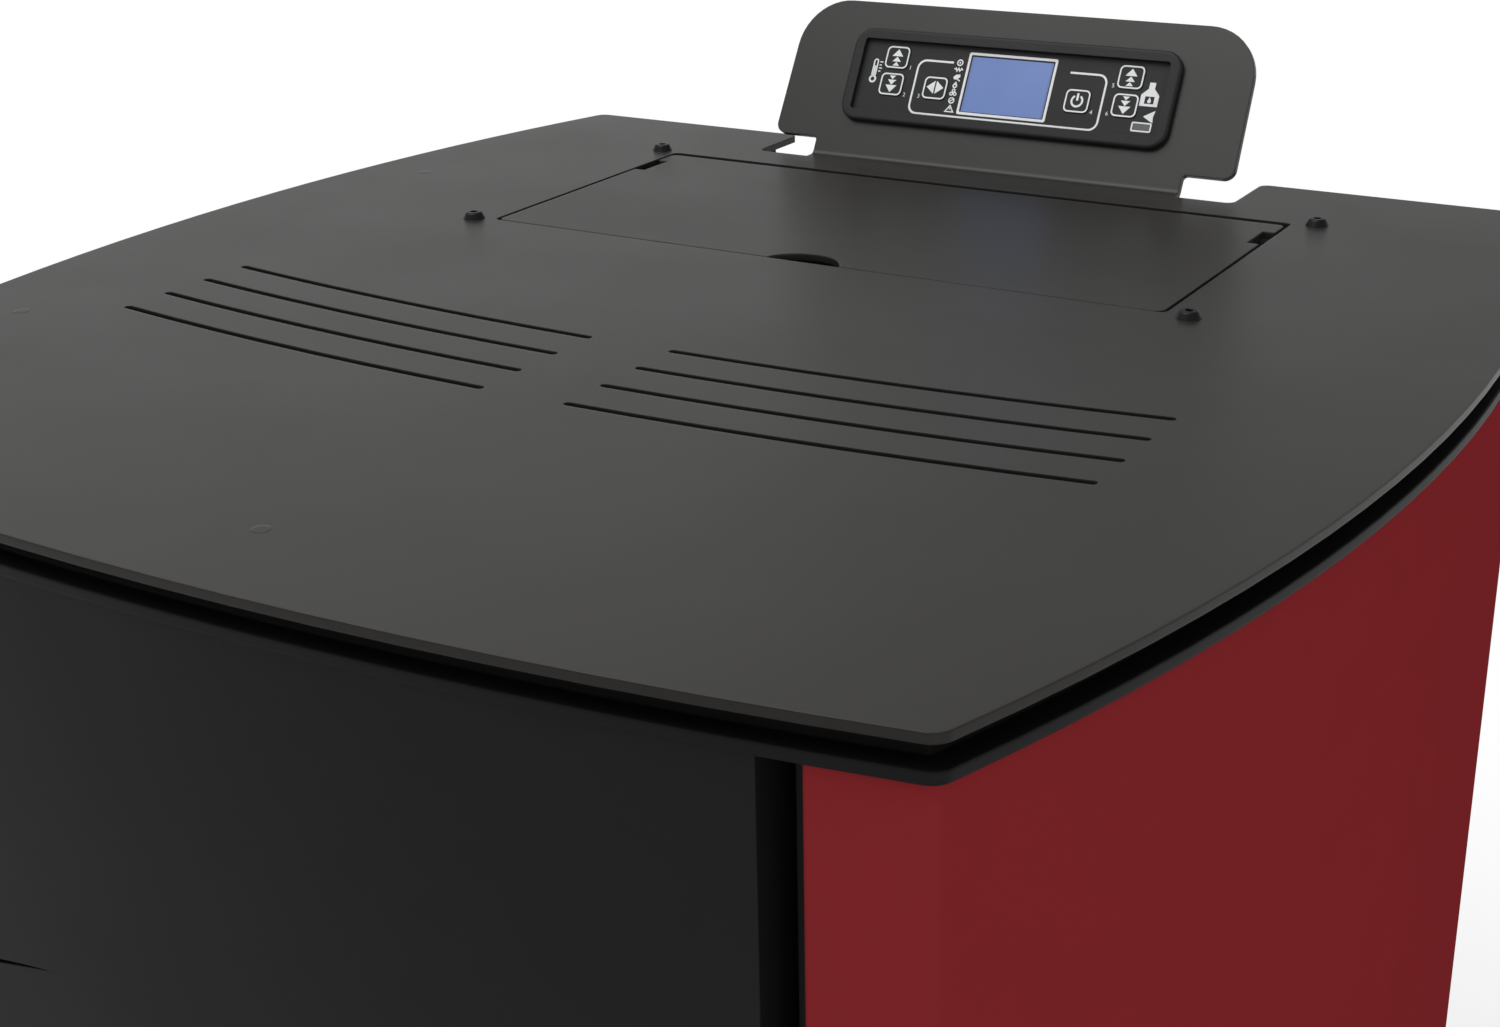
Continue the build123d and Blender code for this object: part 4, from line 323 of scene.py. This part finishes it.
def brushed(name, color, rough, squeeze=(1.0, 1.0, 40.0)):
    """Steel with drawn or turned marks, which lie across the axes with the large numbers."""
    look = Look(name, color, rough, metallic=1.0)
    look.rounded(0.0003)
    line = look.noise(60.0, 4.0, 0.7, stretch=squeeze)
    look.paint(look.ramp(line, 0.3, 0.7, 0.0, 0.5), times(color, 0.7))
    look.mottle(times(color, 1.25), scale=25.0, detail=3.0, low=0.55, high=0.75, share=0.3)
    look.roughen(line, rough - 0.07, rough + 0.1)
    look.bump(line, 0.00003, 0.5)
    return look


give(
    brushed("zinc_steel", (0.56, 0.56, 0.57), 0.30),
    "lid_hinges", "hopper_grid", "auger_screw", "exhaust_impeller", "exhaust_motor", "igniter",
)
give(brushed("handle_steel", (0.60, 0.60, 0.61), 0.24, (40.0, 40.0, 1.0)), "door_handle")
give(brushed("fan_alloy", (0.62, 0.63, 0.65), 0.36, (1.0, 40.0, 40.0)), "room_fan_impeller")

screw_black = brushed("screw_black", (0.030, 0.030, 0.032), 0.34, (1.0, 1.0, 1.0))
screw_black.paint(screw_black.math("MULTIPLY", screw_black.edge(0.0004), 0.35), (0.12, 0.12, 0.12))
give(screw_black, "cover_screws", "door_hinges")

cast_alloy = Look("cast_alloy", (0.42, 0.42, 0.43), 0.5, metallic=1.0)
cast_alloy.rounded(0.0008)
cast_alloy.mottle((0.26, 0.26, 0.27), scale=35.0, detail=5.0, low=0.35, high=0.7, share=0.6, rough=0.65)
cast_alloy.roughen(cast_alloy.noise(200.0, 4.0), 0.42, 0.66)
cast_alloy.bump(cast_alloy.noise(700.0, 3.0, 0.6), 0.00008, 0.8)
give(cast_alloy, "exhaust_housing", "auger_gearmotor")

cast_iron = Look("cast_iron", (0.040, 0.038, 0.037), 0.72, metallic=0.55)
cast_iron.rounded(0.001)
cast_iron.mottle((0.075, 0.055, 0.045), scale=30.0, detail=5.0, low=0.5, high=0.72, share=0.55, rough=0.7)
cast_iron.mottle((0.10, 0.10, 0.10), scale=300.0, detail=3.0, low=0.6, high=0.75, share=0.5)
cast_iron.roughen(cast_iron.noise(90.0, 4.0), 0.62, 0.85)
cast_iron.bump(cast_iron.noise(480.0, 5.0, 0.65), 0.00025, 0.9)
give(cast_iron, "burn_pot")

# ---------------------------------------------------------------- fire boards, glass and rope
SOOT_FULL_Z = 0.385
SOOT_END_Z = 0.50

board = Look("fire_board", srgb(196, 176, 142), 0.94, spec=0.2)
board.rounded(0.001)
board.paint(board.ramp(board.cells(420.0), 0.5, 0.05, 0.0, 0.45), srgb(222, 205, 168))
board.mottle(srgb(140, 118, 84), scale=620.0, detail=3.0, low=0.56, high=0.66, share=0.6)
board.mottle(srgb(150, 130, 104), scale=11.0, detail=5.0, low=0.42, high=0.75, share=0.45, rough=0.65)
soot = board.ramp(board.axis("Z"), SOOT_END_Z, SOOT_FULL_Z, 0.0, 0.55, smooth=True)
board.paint(soot, srgb(96, 84, 70))
board.bump(board.noise(380.0, 5.0, 0.65), 0.0006, 0.6)
board.bump(board.cells(240.0), 0.0003, 0.4)
give(board, "firebox_lining", "baffle")

glass = Look("fire_glass", (0.93, 0.90, 0.86), 0.03, spec=0.5)
glass.set("Transmission Weight", 1.0)
glass.set("IOR", 1.5)
glass.mottle((0.80, 0.76, 0.70), scale=12.0, detail=4.0, low=0.5, high=0.8, share=0.3)
glass.roughen(glass.noise(25.0, 4.0), 0.02, 0.05)
give(glass, "door_glass")

STRAND_SCALE = 110.0
rope = Look("gasket_rope", srgb(62, 61, 60), 0.9, spec=0.2)
twist = rope.wave(STRAND_SCALE, "DIAGONAL", distort=0.6)
back_twist = rope.wave(STRAND_SCALE, "DIAGONAL", stretch=(-1.0, 1.0, 1.0))
braid = rope.math("MAXIMUM", twist, back_twist)
# painted shade: the low grooves between the braid's strands are darkened towards black
rope.paint(rope.ramp(braid, 0.95, 0.3, 0.0, 0.7), srgb(24, 24, 24))
rope.mottle(srgb(104, 102, 98), scale=1200.0, detail=2.0, low=0.55, high=0.7, share=0.5)
rope.bump(braid, 0.0009, 0.9)
give(rope, "door_gasket")


# ---------------------------------------------------------------- plastics and electrics
def moulded(name, color, rough=0.5, spec=0.4, radius=0.0004):
    """Moulded plastic with a spark-eroded grain."""
    look = Look(name, color, rough, spec=spec)
    look.rounded(radius)
    look.mottle(times(color, 1.14), scale=22.0, detail=4.0, low=0.35, high=0.7, share=0.5)
    look.paint(look.math("MULTIPLY", look.edge(0.0004), 0.2), times(color, 2.2))
    look.roughen(look.noise(45.0, 3.0), rough - 0.06, rough + 0.06)
    look.bump(look.cells(2200.0), 0.00003, 0.7)
    return look


give(moulded("bezel_plastic", srgb(30, 30, 31), 0.46, 0.3, radius=0.0005), "display_bezel")
give(moulded("cover_plastic", srgb(30, 30, 31), 0.55, 0.35), "display_cover")
give(moulded("inlet_plastic", srgb(22, 22, 23)), "mains_inlet", "thermostat_body", "thermostat_button")
give(moulded("rocker_plastic", srgb(26, 25, 26), 0.28, 0.5), "rocker")
give(moulded("tray_plastic", srgb(150, 152, 154), 0.55, 0.35), "control_board")

film = Look("panel_film", srgb(38, 38, 38), 0.5, spec=0.25)
film.mottle(srgb(43, 43, 43), scale=30.0, detail=3.0, low=0.35, high=0.7, share=0.5)
film.roughen(film.noise(80.0, 3.0), 0.42, 0.56)
film.bump(film.cells(3500.0), 0.00001, 0.5)
give(film, "display_film", *(f"key_{i}" for i in range(1, 7)))

RIM_X = 0.0185
SCREEN_END_X = 0.0202

screen = Look("screen_glass", srgb(112, 137, 196), 0.16, spec=0.3)
glow = screen.noise(28.0, 2.0)
screen.paint(screen.ramp(glow, 0.3, 0.75, 0.0, 0.7), srgb(104, 127, 184))
off_middle = screen.math("ABSOLUTE", screen.axis("X"))
screen.paint(screen.ramp(off_middle, RIM_X, SCREEN_END_X, 0.0, 0.55, smooth=True), srgb(92, 108, 138))
dots = screen.new("ShaderNodeTexChecker", {"Scale": 3200.0})
screen.link(screen.coords, dots.inputs["Vector"])
screen.paint(screen.math("MULTIPLY", dots.outputs["Fac"], 0.10), srgb(84, 104, 156))
screen.roughen(glow, 0.12, 0.22)
give(screen, "display_lcd")

circuit = Look("circuit_board", (0.012, 0.085, 0.030), 0.35, spec=0.5)
trace = circuit.ramp(circuit.cells(90.0, feature="DISTANCE_TO_EDGE"), 0.02, 0.05)
circuit.paint(circuit.math("MULTIPLY", trace, 0.5), (0.02, 0.14, 0.05))
circuit.paint(circuit.ramp(circuit.cells(260.0, random=0.3), 0.16, 0.12), (0.45, 0.43, 0.36))
circuit.roughen(circuit.noise(60.0, 2.0), 0.28, 0.5)
circuit.bump(trace, 0.00005, 0.6)
give(circuit, "display_board")

PAD_TOP_Z = 0.0141

foot = Look("foot_plastic", srgb(30, 30, 31), 0.55, spec=0.4)
foot.rounded(0.0006)
stud = foot.ramp(foot.axis("Z"), PAD_TOP_Z, PAD_TOP_Z + 0.0002)
foot.mottle(srgb(40, 40, 41), scale=40.0, detail=3.0, low=0.35, high=0.7, share=0.5)
foot.paint(stud, (0.50, 0.50, 0.51))
foot.link(stud, foot.bsdf.inputs["Metallic"])
foot.roughen(stud, 0.55, 0.32)
thread = foot.math("MULTIPLY", foot.wave(210.0, "Z"), stud)
foot.bump(thread, 0.0006)
foot.bump(foot.cells(1800.0), 0.00003, 0.5)
give(foot, *(f"foot_{a}_{b}" for a in ("front", "rear") for b in ("left", "right")))

# ---------------------------------------------------------------- printed marks, in millimetres
BEND_Y = 216.9
TOP_Z = 1020.0
LEAN = math.radians(29.4)
FILM_H = 1.0
KEY_H = 1.5
INK_GAP = 0.015
INK_T = 0.04
SAME_POINT = 0.004
NO_LENGTH = 0.001


def on_panel(x, v, h):
    """A point of the operating panel: x across, v up its face from the bend, h out of it."""
    s, c = math.sin(LEAN), math.cos(LEAN)
    return Vector((x, BEND_Y + v * s - h * c, TOP_Z + v * c + h * s)) * MM


def on_film(x, v, h):
    return on_panel(x, v, FILM_H + INK_GAP + h)


def on_key(x, v, h):
    return on_panel(x, v, KEY_H + INK_GAP + h)


def arc(cx, cy, r, start, end, steps=8):
    """Points along an arc between two angles in degrees."""
    angles = [math.radians(start + (end - start) * i / steps) for i in range(steps + 1)]
    return [(cx + r * math.cos(a), cy + r * math.sin(a)) for a in angles]


def round_box(cx, cy, w, h, r, steps=6):
    """The outline of a box with round corners about its middle."""
    x, y = w / 2 - r, h / 2 - r
    corners = ((x, y, 0), (-x, y, 90), (-x, -y, 180), (x, -y, 270))
    return [p for dx, dy, start in corners for p in arc(cx + dx, cy + dy, r, start, start + 90, steps)]


class Print:
    """Flat ink shapes that become one thin mesh on a face."""

    def __init__(self):
        self.faces = []

    def fill(self, *loops):
        """The area inside the first loop and outside the others."""
        flat = [p for loop in loops for p in loop]
        for tri in tessellate_polygon([[Vector((x, y, 0)) for x, y in loop] for loop in loops]):
            self.faces.append([flat[i] for i in tri])

    def ring(self, outer, inner):
        """The band between two closed outlines with the same number of points."""
        n = len(outer)
        for i in range(n):
            j = (i + 1) % n
            self.faces.append([outer[i], outer[j], inner[j], inner[i]])

    def circle(self, cx, cy, r, line, last=345, steps=18):
        """A ring of that radius and line width; its last point stands at that angle."""
        self.ring(arc(cx, cy, r, 0, last, steps), arc(cx, cy, r - line, 0, last, steps))

    def box(self, cx, cy, w, h, r, line, inner_r):
        """The outline of a box with round corners, with its line inside the width and height."""
        self.ring(round_box(cx, cy, w, h, r), round_box(cx, cy, w - 2 * line, h - 2 * line, inner_r))

    def stroke(self, points, width, closed=False):
        """A line of that width through the points, with mitred corners."""
        pts = [Vector(p) for p in points]
        n = len(pts)
        left, right = [], []
        for i, p in enumerate(pts):
            before = pts[i - 1] if (i or closed) else p
            after = pts[(i + 1) % n] if (i < n - 1 or closed) else p
            d1 = (p - before).normalized() if (p - before).length else (after - p).normalized()
            d2 = (after - p).normalized() if (after - p).length else d1
            n1, n2 = Vector((-d1.y, d1.x)), Vector((-d2.y, d2.x))
            mitre = (n1 + n2).normalized()
            reach = width / 2 / max(0.35, mitre.dot(n1))
            left.append(p + mitre * reach)
            right.append(p - mitre * reach)
        for i in range(n if closed else n - 1):
            j = (i + 1) % n
            self.faces.append([left[i], left[j], right[j], right[i]])

    def text(self, word, cx, cy, size):
        """A word in the plain built-in typeface, about its middle."""
        curve = bpy.data.curves.new("digit", "FONT")
        curve.body = word
        curve.size = size
        curve.resolution_u = 3
        curve.align_x = "CENTER"
        curve.align_y = "CENTER"
        holder = bpy.data.objects.new("digit", curve)
        scene.collection.objects.link(holder)
        bpy.context.view_layer.update()
        mesh = bpy.data.meshes.new_from_object(holder.evaluated_get(bpy.context.evaluated_depsgraph_get()))
        for poly in mesh.polygons:
            corners = [mesh.vertices[i].co for i in poly.vertices]
            self.faces.append([(cx + co.x, cy + co.y) for co in corners])
        bpy.data.objects.remove(holder)
        bpy.data.meshes.remove(mesh)
        bpy.data.curves.remove(curve)

    def build(self, name, place, look, body):
        """One thin mesh of all the shapes, put where place(x, y, h) says, that moves with a body."""
        bm = bmesh.new()
        up = place(0, 0, 1) - place(0, 0, 0)
        for face in self.faces:
            verts = [bm.verts.new(place(p[0], p[1], 0.0)) for p in face]
            made = bm.faces.new(verts)
            made.normal_update()
            if made.normal.dot(up) < 0:
                made.normal_flip()
        bmesh.ops.remove_doubles(bm, verts=bm.verts, dist=SAME_POINT * MM)
        bmesh.ops.dissolve_degenerate(bm, edges=bm.edges, dist=NO_LENGTH * MM)
        ext = bmesh.ops.extrude_face_region(bm, geom=bm.faces[:])
        moved = [v for v in ext["geom"] if isinstance(v, bmesh.types.BMVert)]
        bmesh.ops.translate(bm, verts=moved, vec=up * INK_T)
        bmesh.ops.recalc_face_normals(bm, faces=bm.faces)
        mesh = bpy.data.meshes.new(name)
        bm.to_mesh(mesh)
        bm.free()
        obj = bpy.data.objects.new(name, mesh)
        scene.collection.objects.link(obj)
        mesh.materials.append(look.mat)
        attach(obj, body)


ink = Look("white_ink", srgb(226, 228, 230), 0.55, spec=0.3)
ink.mottle(srgb(196, 198, 200), scale=500.0, detail=3.0, low=0.5, high=0.75, share=0.25)
ink.bump(ink.noise(2500.0, 2.0), 0.00001, 0.4)

# ---------------------------------------------------------------- marks on the six keys
PAD_X = 58.0
MENU_X = 35.3
HIGH_V = 49.6
LOW_V = 36.6
KEYS = (
    (-PAD_X, HIGH_V), (-PAD_X, LOW_V), (-MENU_X, LOW_V),
    (MENU_X, LOW_V), (PAD_X, HIGH_V), (PAD_X, LOW_V),
)
KEY_FRAME_W = 11.7
KEY_FRAME_H = 10.5
# for each arrow, how far above the key's middle it is, its width and its height
UP_ARROWS = ((2.2, 5.6, 3.4), (-0.9, 4.4, 2.4), (-3.2, 3.5, 1.8))
DOWN_ARROWS = ((-2.2, 5.8, 3.5), (0.9, 4.4, 2.4), (3.2, 3.3, 1.8))


def draw_arrows(mark, kx, kv, arrows, up):
    """Three arrow heads over each other that point up (1) or down (-1)."""
    for rise, w, h in arrows:
        foot_v = kv + rise - up * h / 2
        tip_v = kv + rise + up * h / 2
        mark.fill([(kx - w / 2, foot_v), (kx + w / 2, foot_v), (kx, tip_v)])


def draw_menu_sign(mark, kx, kv):
    """Two arrow heads back to back, one to the left and one to the right."""
    for side in (-1, 1):
        back_x = kx + 0.35 * side
        mark.fill([(back_x, kv - 2.8), (back_x, kv + 3.4), (kx + 4.3 * side, kv + 0.3)])


def draw_power_sign(mark, kx, kv):
    """An open circle with an upright bar in its gap."""
    mark.stroke(arc(kx, kv, 2.55, 122, 418, 22), 0.95)
    mark.stroke([(kx, kv + 0.2), (kx, kv + 3.6)], 1.0)


for number, (kx, kv) in enumerate(KEYS, start=1):
    mark = Print()
    mark.box(kx, kv, KEY_FRAME_W, KEY_FRAME_H, r=2.3, line=0.7, inner_r=1.7)
    if number in (1, 5):
        draw_arrows(mark, kx, kv, UP_ARROWS, 1)
    elif number in (2, 6):
        draw_arrows(mark, kx, kv, DOWN_ARROWS, -1)
    elif number == 3:
        draw_menu_sign(mark, kx, kv)
    else:
        draw_power_sign(mark, kx, kv)
    mark.build(f"key_print_{number}", on_key, ink, f"button_{number}")

# ---------------------------------------------------------------- marks on the panel's film
SCREEN_V = 40.25
SCREEN_FRAME_W = 44.0
SCREEN_FRAME_H = 29.6
LOOP_TOP_V = 49.5
LOOP_LOW_V = 24.0
LOOP_R = 4.0
# from the middle of each key to its number
TO_NUMBERS = ((7.6, -4.4), (7.6, -4.4), (-7.6, -4.4), (7.6, -4.5), (-7.6, -4.4), (-7.6, -4.4))
STATES_X = -25.8
WINDOW_X = 67.6
WINDOW_V = 27.6


def draw_screen_frame(mark):
    """The screen's white frame, and the line that runs under it from the left keys to the right."""
    mark.box(0, SCREEN_V, SCREEN_FRAME_W, SCREEN_FRAME_H, r=1.0, line=1.2, inner_r=0.5)
    mark.stroke(
        [(-29, LOOP_TOP_V)]
        + arc(-42.5, LOOP_TOP_V - LOOP_R, LOOP_R, 90, 180)
        + arc(-42.5, LOOP_LOW_V + LOOP_R, LOOP_R, 180, 270)
        + [(42.5, LOOP_LOW_V)]
        + arc(43, LOOP_LOW_V + LOOP_R, LOOP_R, 270, 360)[1:]
        + arc(43, LOOP_TOP_V - LOOP_R, LOOP_R, 0, 90)
        + [(29, LOOP_TOP_V)],
        0.95,
    )


def draw_key_numbers(mark):
    """The keys' numbers, from 1 to 6, beside them."""
    for number, ((kx, kv), (dx, dv)) in enumerate(zip(KEYS, TO_NUMBERS), start=1):
        mark.text(str(number), kx + dx, kv + dv, 2.7)


def draw_thermometer(mark):
    """A thermometer with its bulb, and four ticks beside it."""
    x = -68.6
    mark.ring(round_box(x, 44.0, 2.5, 8.6, 1.2), round_box(x, 44.0, 1.2, 7.4, 0.55))
    mark.fill(round_box(x, 42.6, 0.9, 4.8, 0.4))
    mark.circle(x, 38.5, 1.9, 0.9, steps=16)
    for i in range(4):
        v = 42.4 + 1.5 * i
        mark.stroke([(-66.6, v), (-65.5 + 0.5 * (i % 2), v)], 0.55)


def draw_stove(mark):
    """A stove with its pipe, and a drop-shaped flame in its window."""
    body = [
        (64.3, 37.2), (72.7, 37.2), (72.7, 42.3), (70.0, 45.2),
        (70.0, 48.1), (67.2, 48.1), (67.2, 45.2), (64.3, 42.3),
    ]
    window = [(66.4, 38.3), (66.4, 41.7), (70.7, 41.7), (70.7, 38.3)]
    mark.fill(body, window)
    mark.fill(arc(68.55, 39.5, 0.85, -200, 20, 10) + [(68.55, 41.5)])


def draw_scoop(mark):
    """A small scoop for pellets."""
    mark.fill([(67.4, 32.5), (70.6, 34.4), (72.6, 35.5), (72.0, 32.6), (72.4, 29.8), (70.6, 30.7)])


def draw_states(mark):
    """The column of signs beside the screen: clock, heater, scoop, flame, fan, sensor, warning."""
    x = STATES_X
    mark.circle(x, 49.7, 1.6, 0.6)
    mark.fill(arc(x, 49.7, 0.42, 0, 330, 8))
    zigzag = ((-2.1, 46.4), (-1.4, 47.0), (-0.7, 45.7), (0, 47.0), (0.7, 45.7), (1.4, 47.0), (2.1, 46.2))
    mark.stroke([(x + dx, v) for dx, v in zigzag], 0.6)
    scoop = ((-1.8, 42.6), (-0.6, 43.9), (1.5, 44.2), (1.7, 42.9), (0.3, 41.7), (-1.1, 41.6))
    mark.fill([(x + dx, v) for dx, v in scoop])
    mark.stroke([(x + 0.3, 41.9), (x + 1.9, 41.0)], 0.6)
    mark.fill(arc(x, 38.6, 1.15, -210, 30, 12) + [(x + 0.2, 40.8)], arc(x, 38.6, 0.5, 0, 315, 8))
    for blade_x, blade_v in arc(x, 35.3, 1.05, 90, 330, 2):
        mark.circle(blade_x, blade_v, 0.95, 0.53, 330, 12)
    mark.circle(x, 31.6, 1.55, 0.55)
    mark.stroke([(x - 0.8, 31.0), (x + 0.8, 32.3)], 0.5)
    mark.stroke([(x, 29.2), (x + 2.0, 26.2), (x - 2.0, 26.2)], 0.55, closed=True)
    mark.stroke([(x, 28.3), (x, 27.2)], 0.5)


mark = Print()
draw_screen_frame(mark)
draw_key_numbers(mark)
draw_thermometer(mark)
draw_stove(mark)
draw_scoop(mark)
mark.box(WINDOW_X, WINDOW_V, 9.4, 4.4, r=0.8, line=0.7, inner_r=0.3)
draw_states(mark)
mark.build("film_print", on_film, ink, "cabinet")

# the greyed little window inside its outline
pane = Look("film_window", srgb(96, 96, 98), 0.35, spec=0.4)
pane.mottle(srgb(82, 82, 84), scale=300.0, detail=2.0, low=0.4, high=0.7, share=0.5)
mark = Print()
mark.fill(round_box(WINDOW_X, WINDOW_V, 7.6, 2.6, 0.3))
mark.build("film_window_print", on_film, pane, "cabinet")

# ---------------------------------------------------------------- bar and ring on the rocker
ROCKER_PIVOT = Vector((150.0, 241.5, 130.5))
ROCKER_TIP = math.radians(7.0)
ROCKER_RISE = 1.2
ROCKER_HALF = 6.5
ROCKER_SLOPE = math.atan2(ROCKER_RISE, ROCKER_HALF)
ROCKER_FACE_Y = 4.3


def on_rocker(slope):
    """Gives the points of one half of the rocker: x across, v along its slope, h out of it."""

    def place(x, v, h):
        z = v * math.cos(slope) - h * math.sin(slope)
        y = ROCKER_FACE_Y + v * math.sin(slope) + (h + INK_GAP) * math.cos(slope)
        tipped_y = y * math.cos(ROCKER_TIP) + z * math.sin(ROCKER_TIP)
        tipped_z = z * math.cos(ROCKER_TIP) - y * math.sin(ROCKER_TIP)
        return (ROCKER_PIVOT + Vector((-x, tipped_y, tipped_z))) * MM

    return place


mark = Print()
mark.stroke([(0, 2.2), (0, 4.6)], 0.7)
mark.build("rocker_bar", on_rocker(ROCKER_SLOPE), ink, "switch")

mark = Print()
mark.circle(0, -3.4, 1.45, 0.6)
mark.build("rocker_ring", on_rocker(-ROCKER_SLOPE), ink, "switch")

# ---------------------------------------------------------------- floor, sky and lamps
STRAIGHT_RAYS = ("Is Camera Ray", "Is Transmission Ray")
SEEING_RAYS = (*STRAIGHT_RAYS, "Is Glossy Ray")

FLOOR_REACH = 30.0
FLOOR_TONE = 0.86
FLOOR_FADE_FROM = 0.45
FLOOR_FADE_TO = 1.9

SKY_LEVEL = 0.86
# the reflected sky darkens where a direction rises from the first height to the second,
# and more so where it turns from the left end to the right
OVERHEAD_FROM = 0.06
OVERHEAD_TO = 0.20
LEFT_TO = -0.64
RIGHT_FROM = -0.20
OVERHEAD_LEFT = 0.51
OVERHEAD_RIGHT = 0.34


def any_ray(tree, kinds):
    """One for a ray of these kinds, and zero for all others."""
    path = add_node(tree, "ShaderNodeLightPath")
    total = path.outputs[kinds[0]]
    for kind in kinds[1:]:
        both = add_node(tree, "ShaderNodeMath", operation="ADD", use_clamp=True)
        tree.links.new(total, both.inputs[0])
        tree.links.new(path.outputs[kind], both.inputs[1])
        total = both.outputs[0]
    return total


def mix_shaders(tree, share, first, second, output):
    """Ends the tree in a mix: the first shader where the share is zero, the second where it is one."""
    mix = add_node(tree, "ShaderNodeMixShader")
    tree.links.new(share, mix.inputs[0])
    tree.links.new(first.outputs[0], mix.inputs[1])
    tree.links.new(second.outputs[0], mix.inputs[2])
    out = add_node(tree, output)
    tree.links.new(mix.outputs[0], out.inputs["Surface"])


def make_floor():
    """A pale floor that takes the shadow, and that is as white as the sky farther out."""
    r = FLOOR_REACH
    mesh = bpy.data.meshes.new("floor")
    mesh.from_pydata([(-r, -r, 0), (r, -r, 0), (r, r, 0), (-r, r, 0)], [], [(0, 1, 2, 3)])
    floor = bpy.data.objects.new("floor", mesh)
    scene.collection.objects.link(floor)
    mat = bpy.data.materials.new("floor")
    mat.use_nodes = True
    tree = mat.node_tree
    tree.nodes.clear()
    point = add_node(tree, "ShaderNodeNewGeometry")
    away = add_node(tree, "ShaderNodeVectorMath", operation="LENGTH")
    tree.links.new(point.outputs["Position"], away.inputs[0])
    fade = add_ramp(tree, away.outputs["Value"], FLOOR_FADE_FROM, FLOOR_FADE_TO, smooth=True)
    share = add_node(tree, "ShaderNodeMath", operation="MULTIPLY")
    tree.links.new(fade.outputs["Result"], share.inputs[0])
    tree.links.new(any_ray(tree, SEEING_RAYS), share.inputs[1])
    pale = add_node(tree, "ShaderNodeBsdfDiffuse", {"Color": (FLOOR_TONE, FLOOR_TONE, FLOOR_TONE, 1)})
    white = add_node(tree, "ShaderNodeEmission", {"Color": (1, 1, 1, 1)})
    mix_shaders(tree, share.outputs[0], pale, white, "ShaderNodeOutputMaterial")
    mesh.materials.append(mat)


def make_sky():
    """White to look at; glossy rays see it darker overhead, and darkest to the right."""
    world = bpy.data.worlds.new("world")
    scene.world = world
    world.use_nodes = True
    tree = world.node_tree
    tree.nodes.clear()
    coords = add_node(tree, "ShaderNodeTexCoord")
    parts = add_node(tree, "ShaderNodeSeparateXYZ")
    tree.links.new(coords.outputs["Generated"], parts.inputs[0])
    overhead = add_ramp(
        tree, parts.outputs["X"], LEFT_TO, RIGHT_FROM, OVERHEAD_LEFT, OVERHEAD_RIGHT, smooth=True
    )
    shade = add_ramp(tree, parts.outputs["Z"], OVERHEAD_FROM, OVERHEAD_TO, 1.0, smooth=True)
    tree.links.new(overhead.outputs["Result"], shade.inputs["To Max"])
    clear = add_node(tree, "ShaderNodeMath", operation="MAXIMUM")
    tree.links.new(shade.outputs["Result"], clear.inputs[0])
    tree.links.new(any_ray(tree, STRAIGHT_RAYS), clear.inputs[1])
    lit = add_node(tree, "ShaderNodeBackground", {"Strength": SKY_LEVEL})
    shown = add_node(tree, "ShaderNodeBackground", {"Strength": 1.0})
    tree.links.new(clear.outputs[0], shown.inputs["Color"])
    mix_shaders(tree, any_ray(tree, SEEING_RAYS), lit, shown, "ShaderNodeOutputWorld")


def make_lamp(name, where, aim, size, power):
    """A rectangular lamp that looks at a point; its power is in watts."""
    data = bpy.data.lights.new(name, "AREA")
    data.shape = "RECTANGLE"
    data.size, data.size_y = size
    data.energy = power
    lamp = bpy.data.objects.new(name, data)
    scene.collection.objects.link(lamp)
    lamp.location = where
    lamp.rotation_mode = "QUATERNION"
    lamp.rotation_quaternion = (Vector(aim) - Vector(where)).to_track_quat("-Z", "Y")


make_floor()
make_sky()
make_lamp("key_lamp", where=(-0.7, -0.7, 3.5), aim=(0, 0, 0.6), size=(2.4, 2.4), power=40)
make_lamp("fill_lamp", where=(2.6, -2.4, 0.75), aim=(0, 0, 0.6), size=(1.6, 1.6), power=19)
make_lamp("back_lamp", where=(-2.2, 2.8, 0.5), aim=(0, 0, 0.55), size=(2.0, 0.9), power=16)

scene.view_settings.view_transform = "Standard"
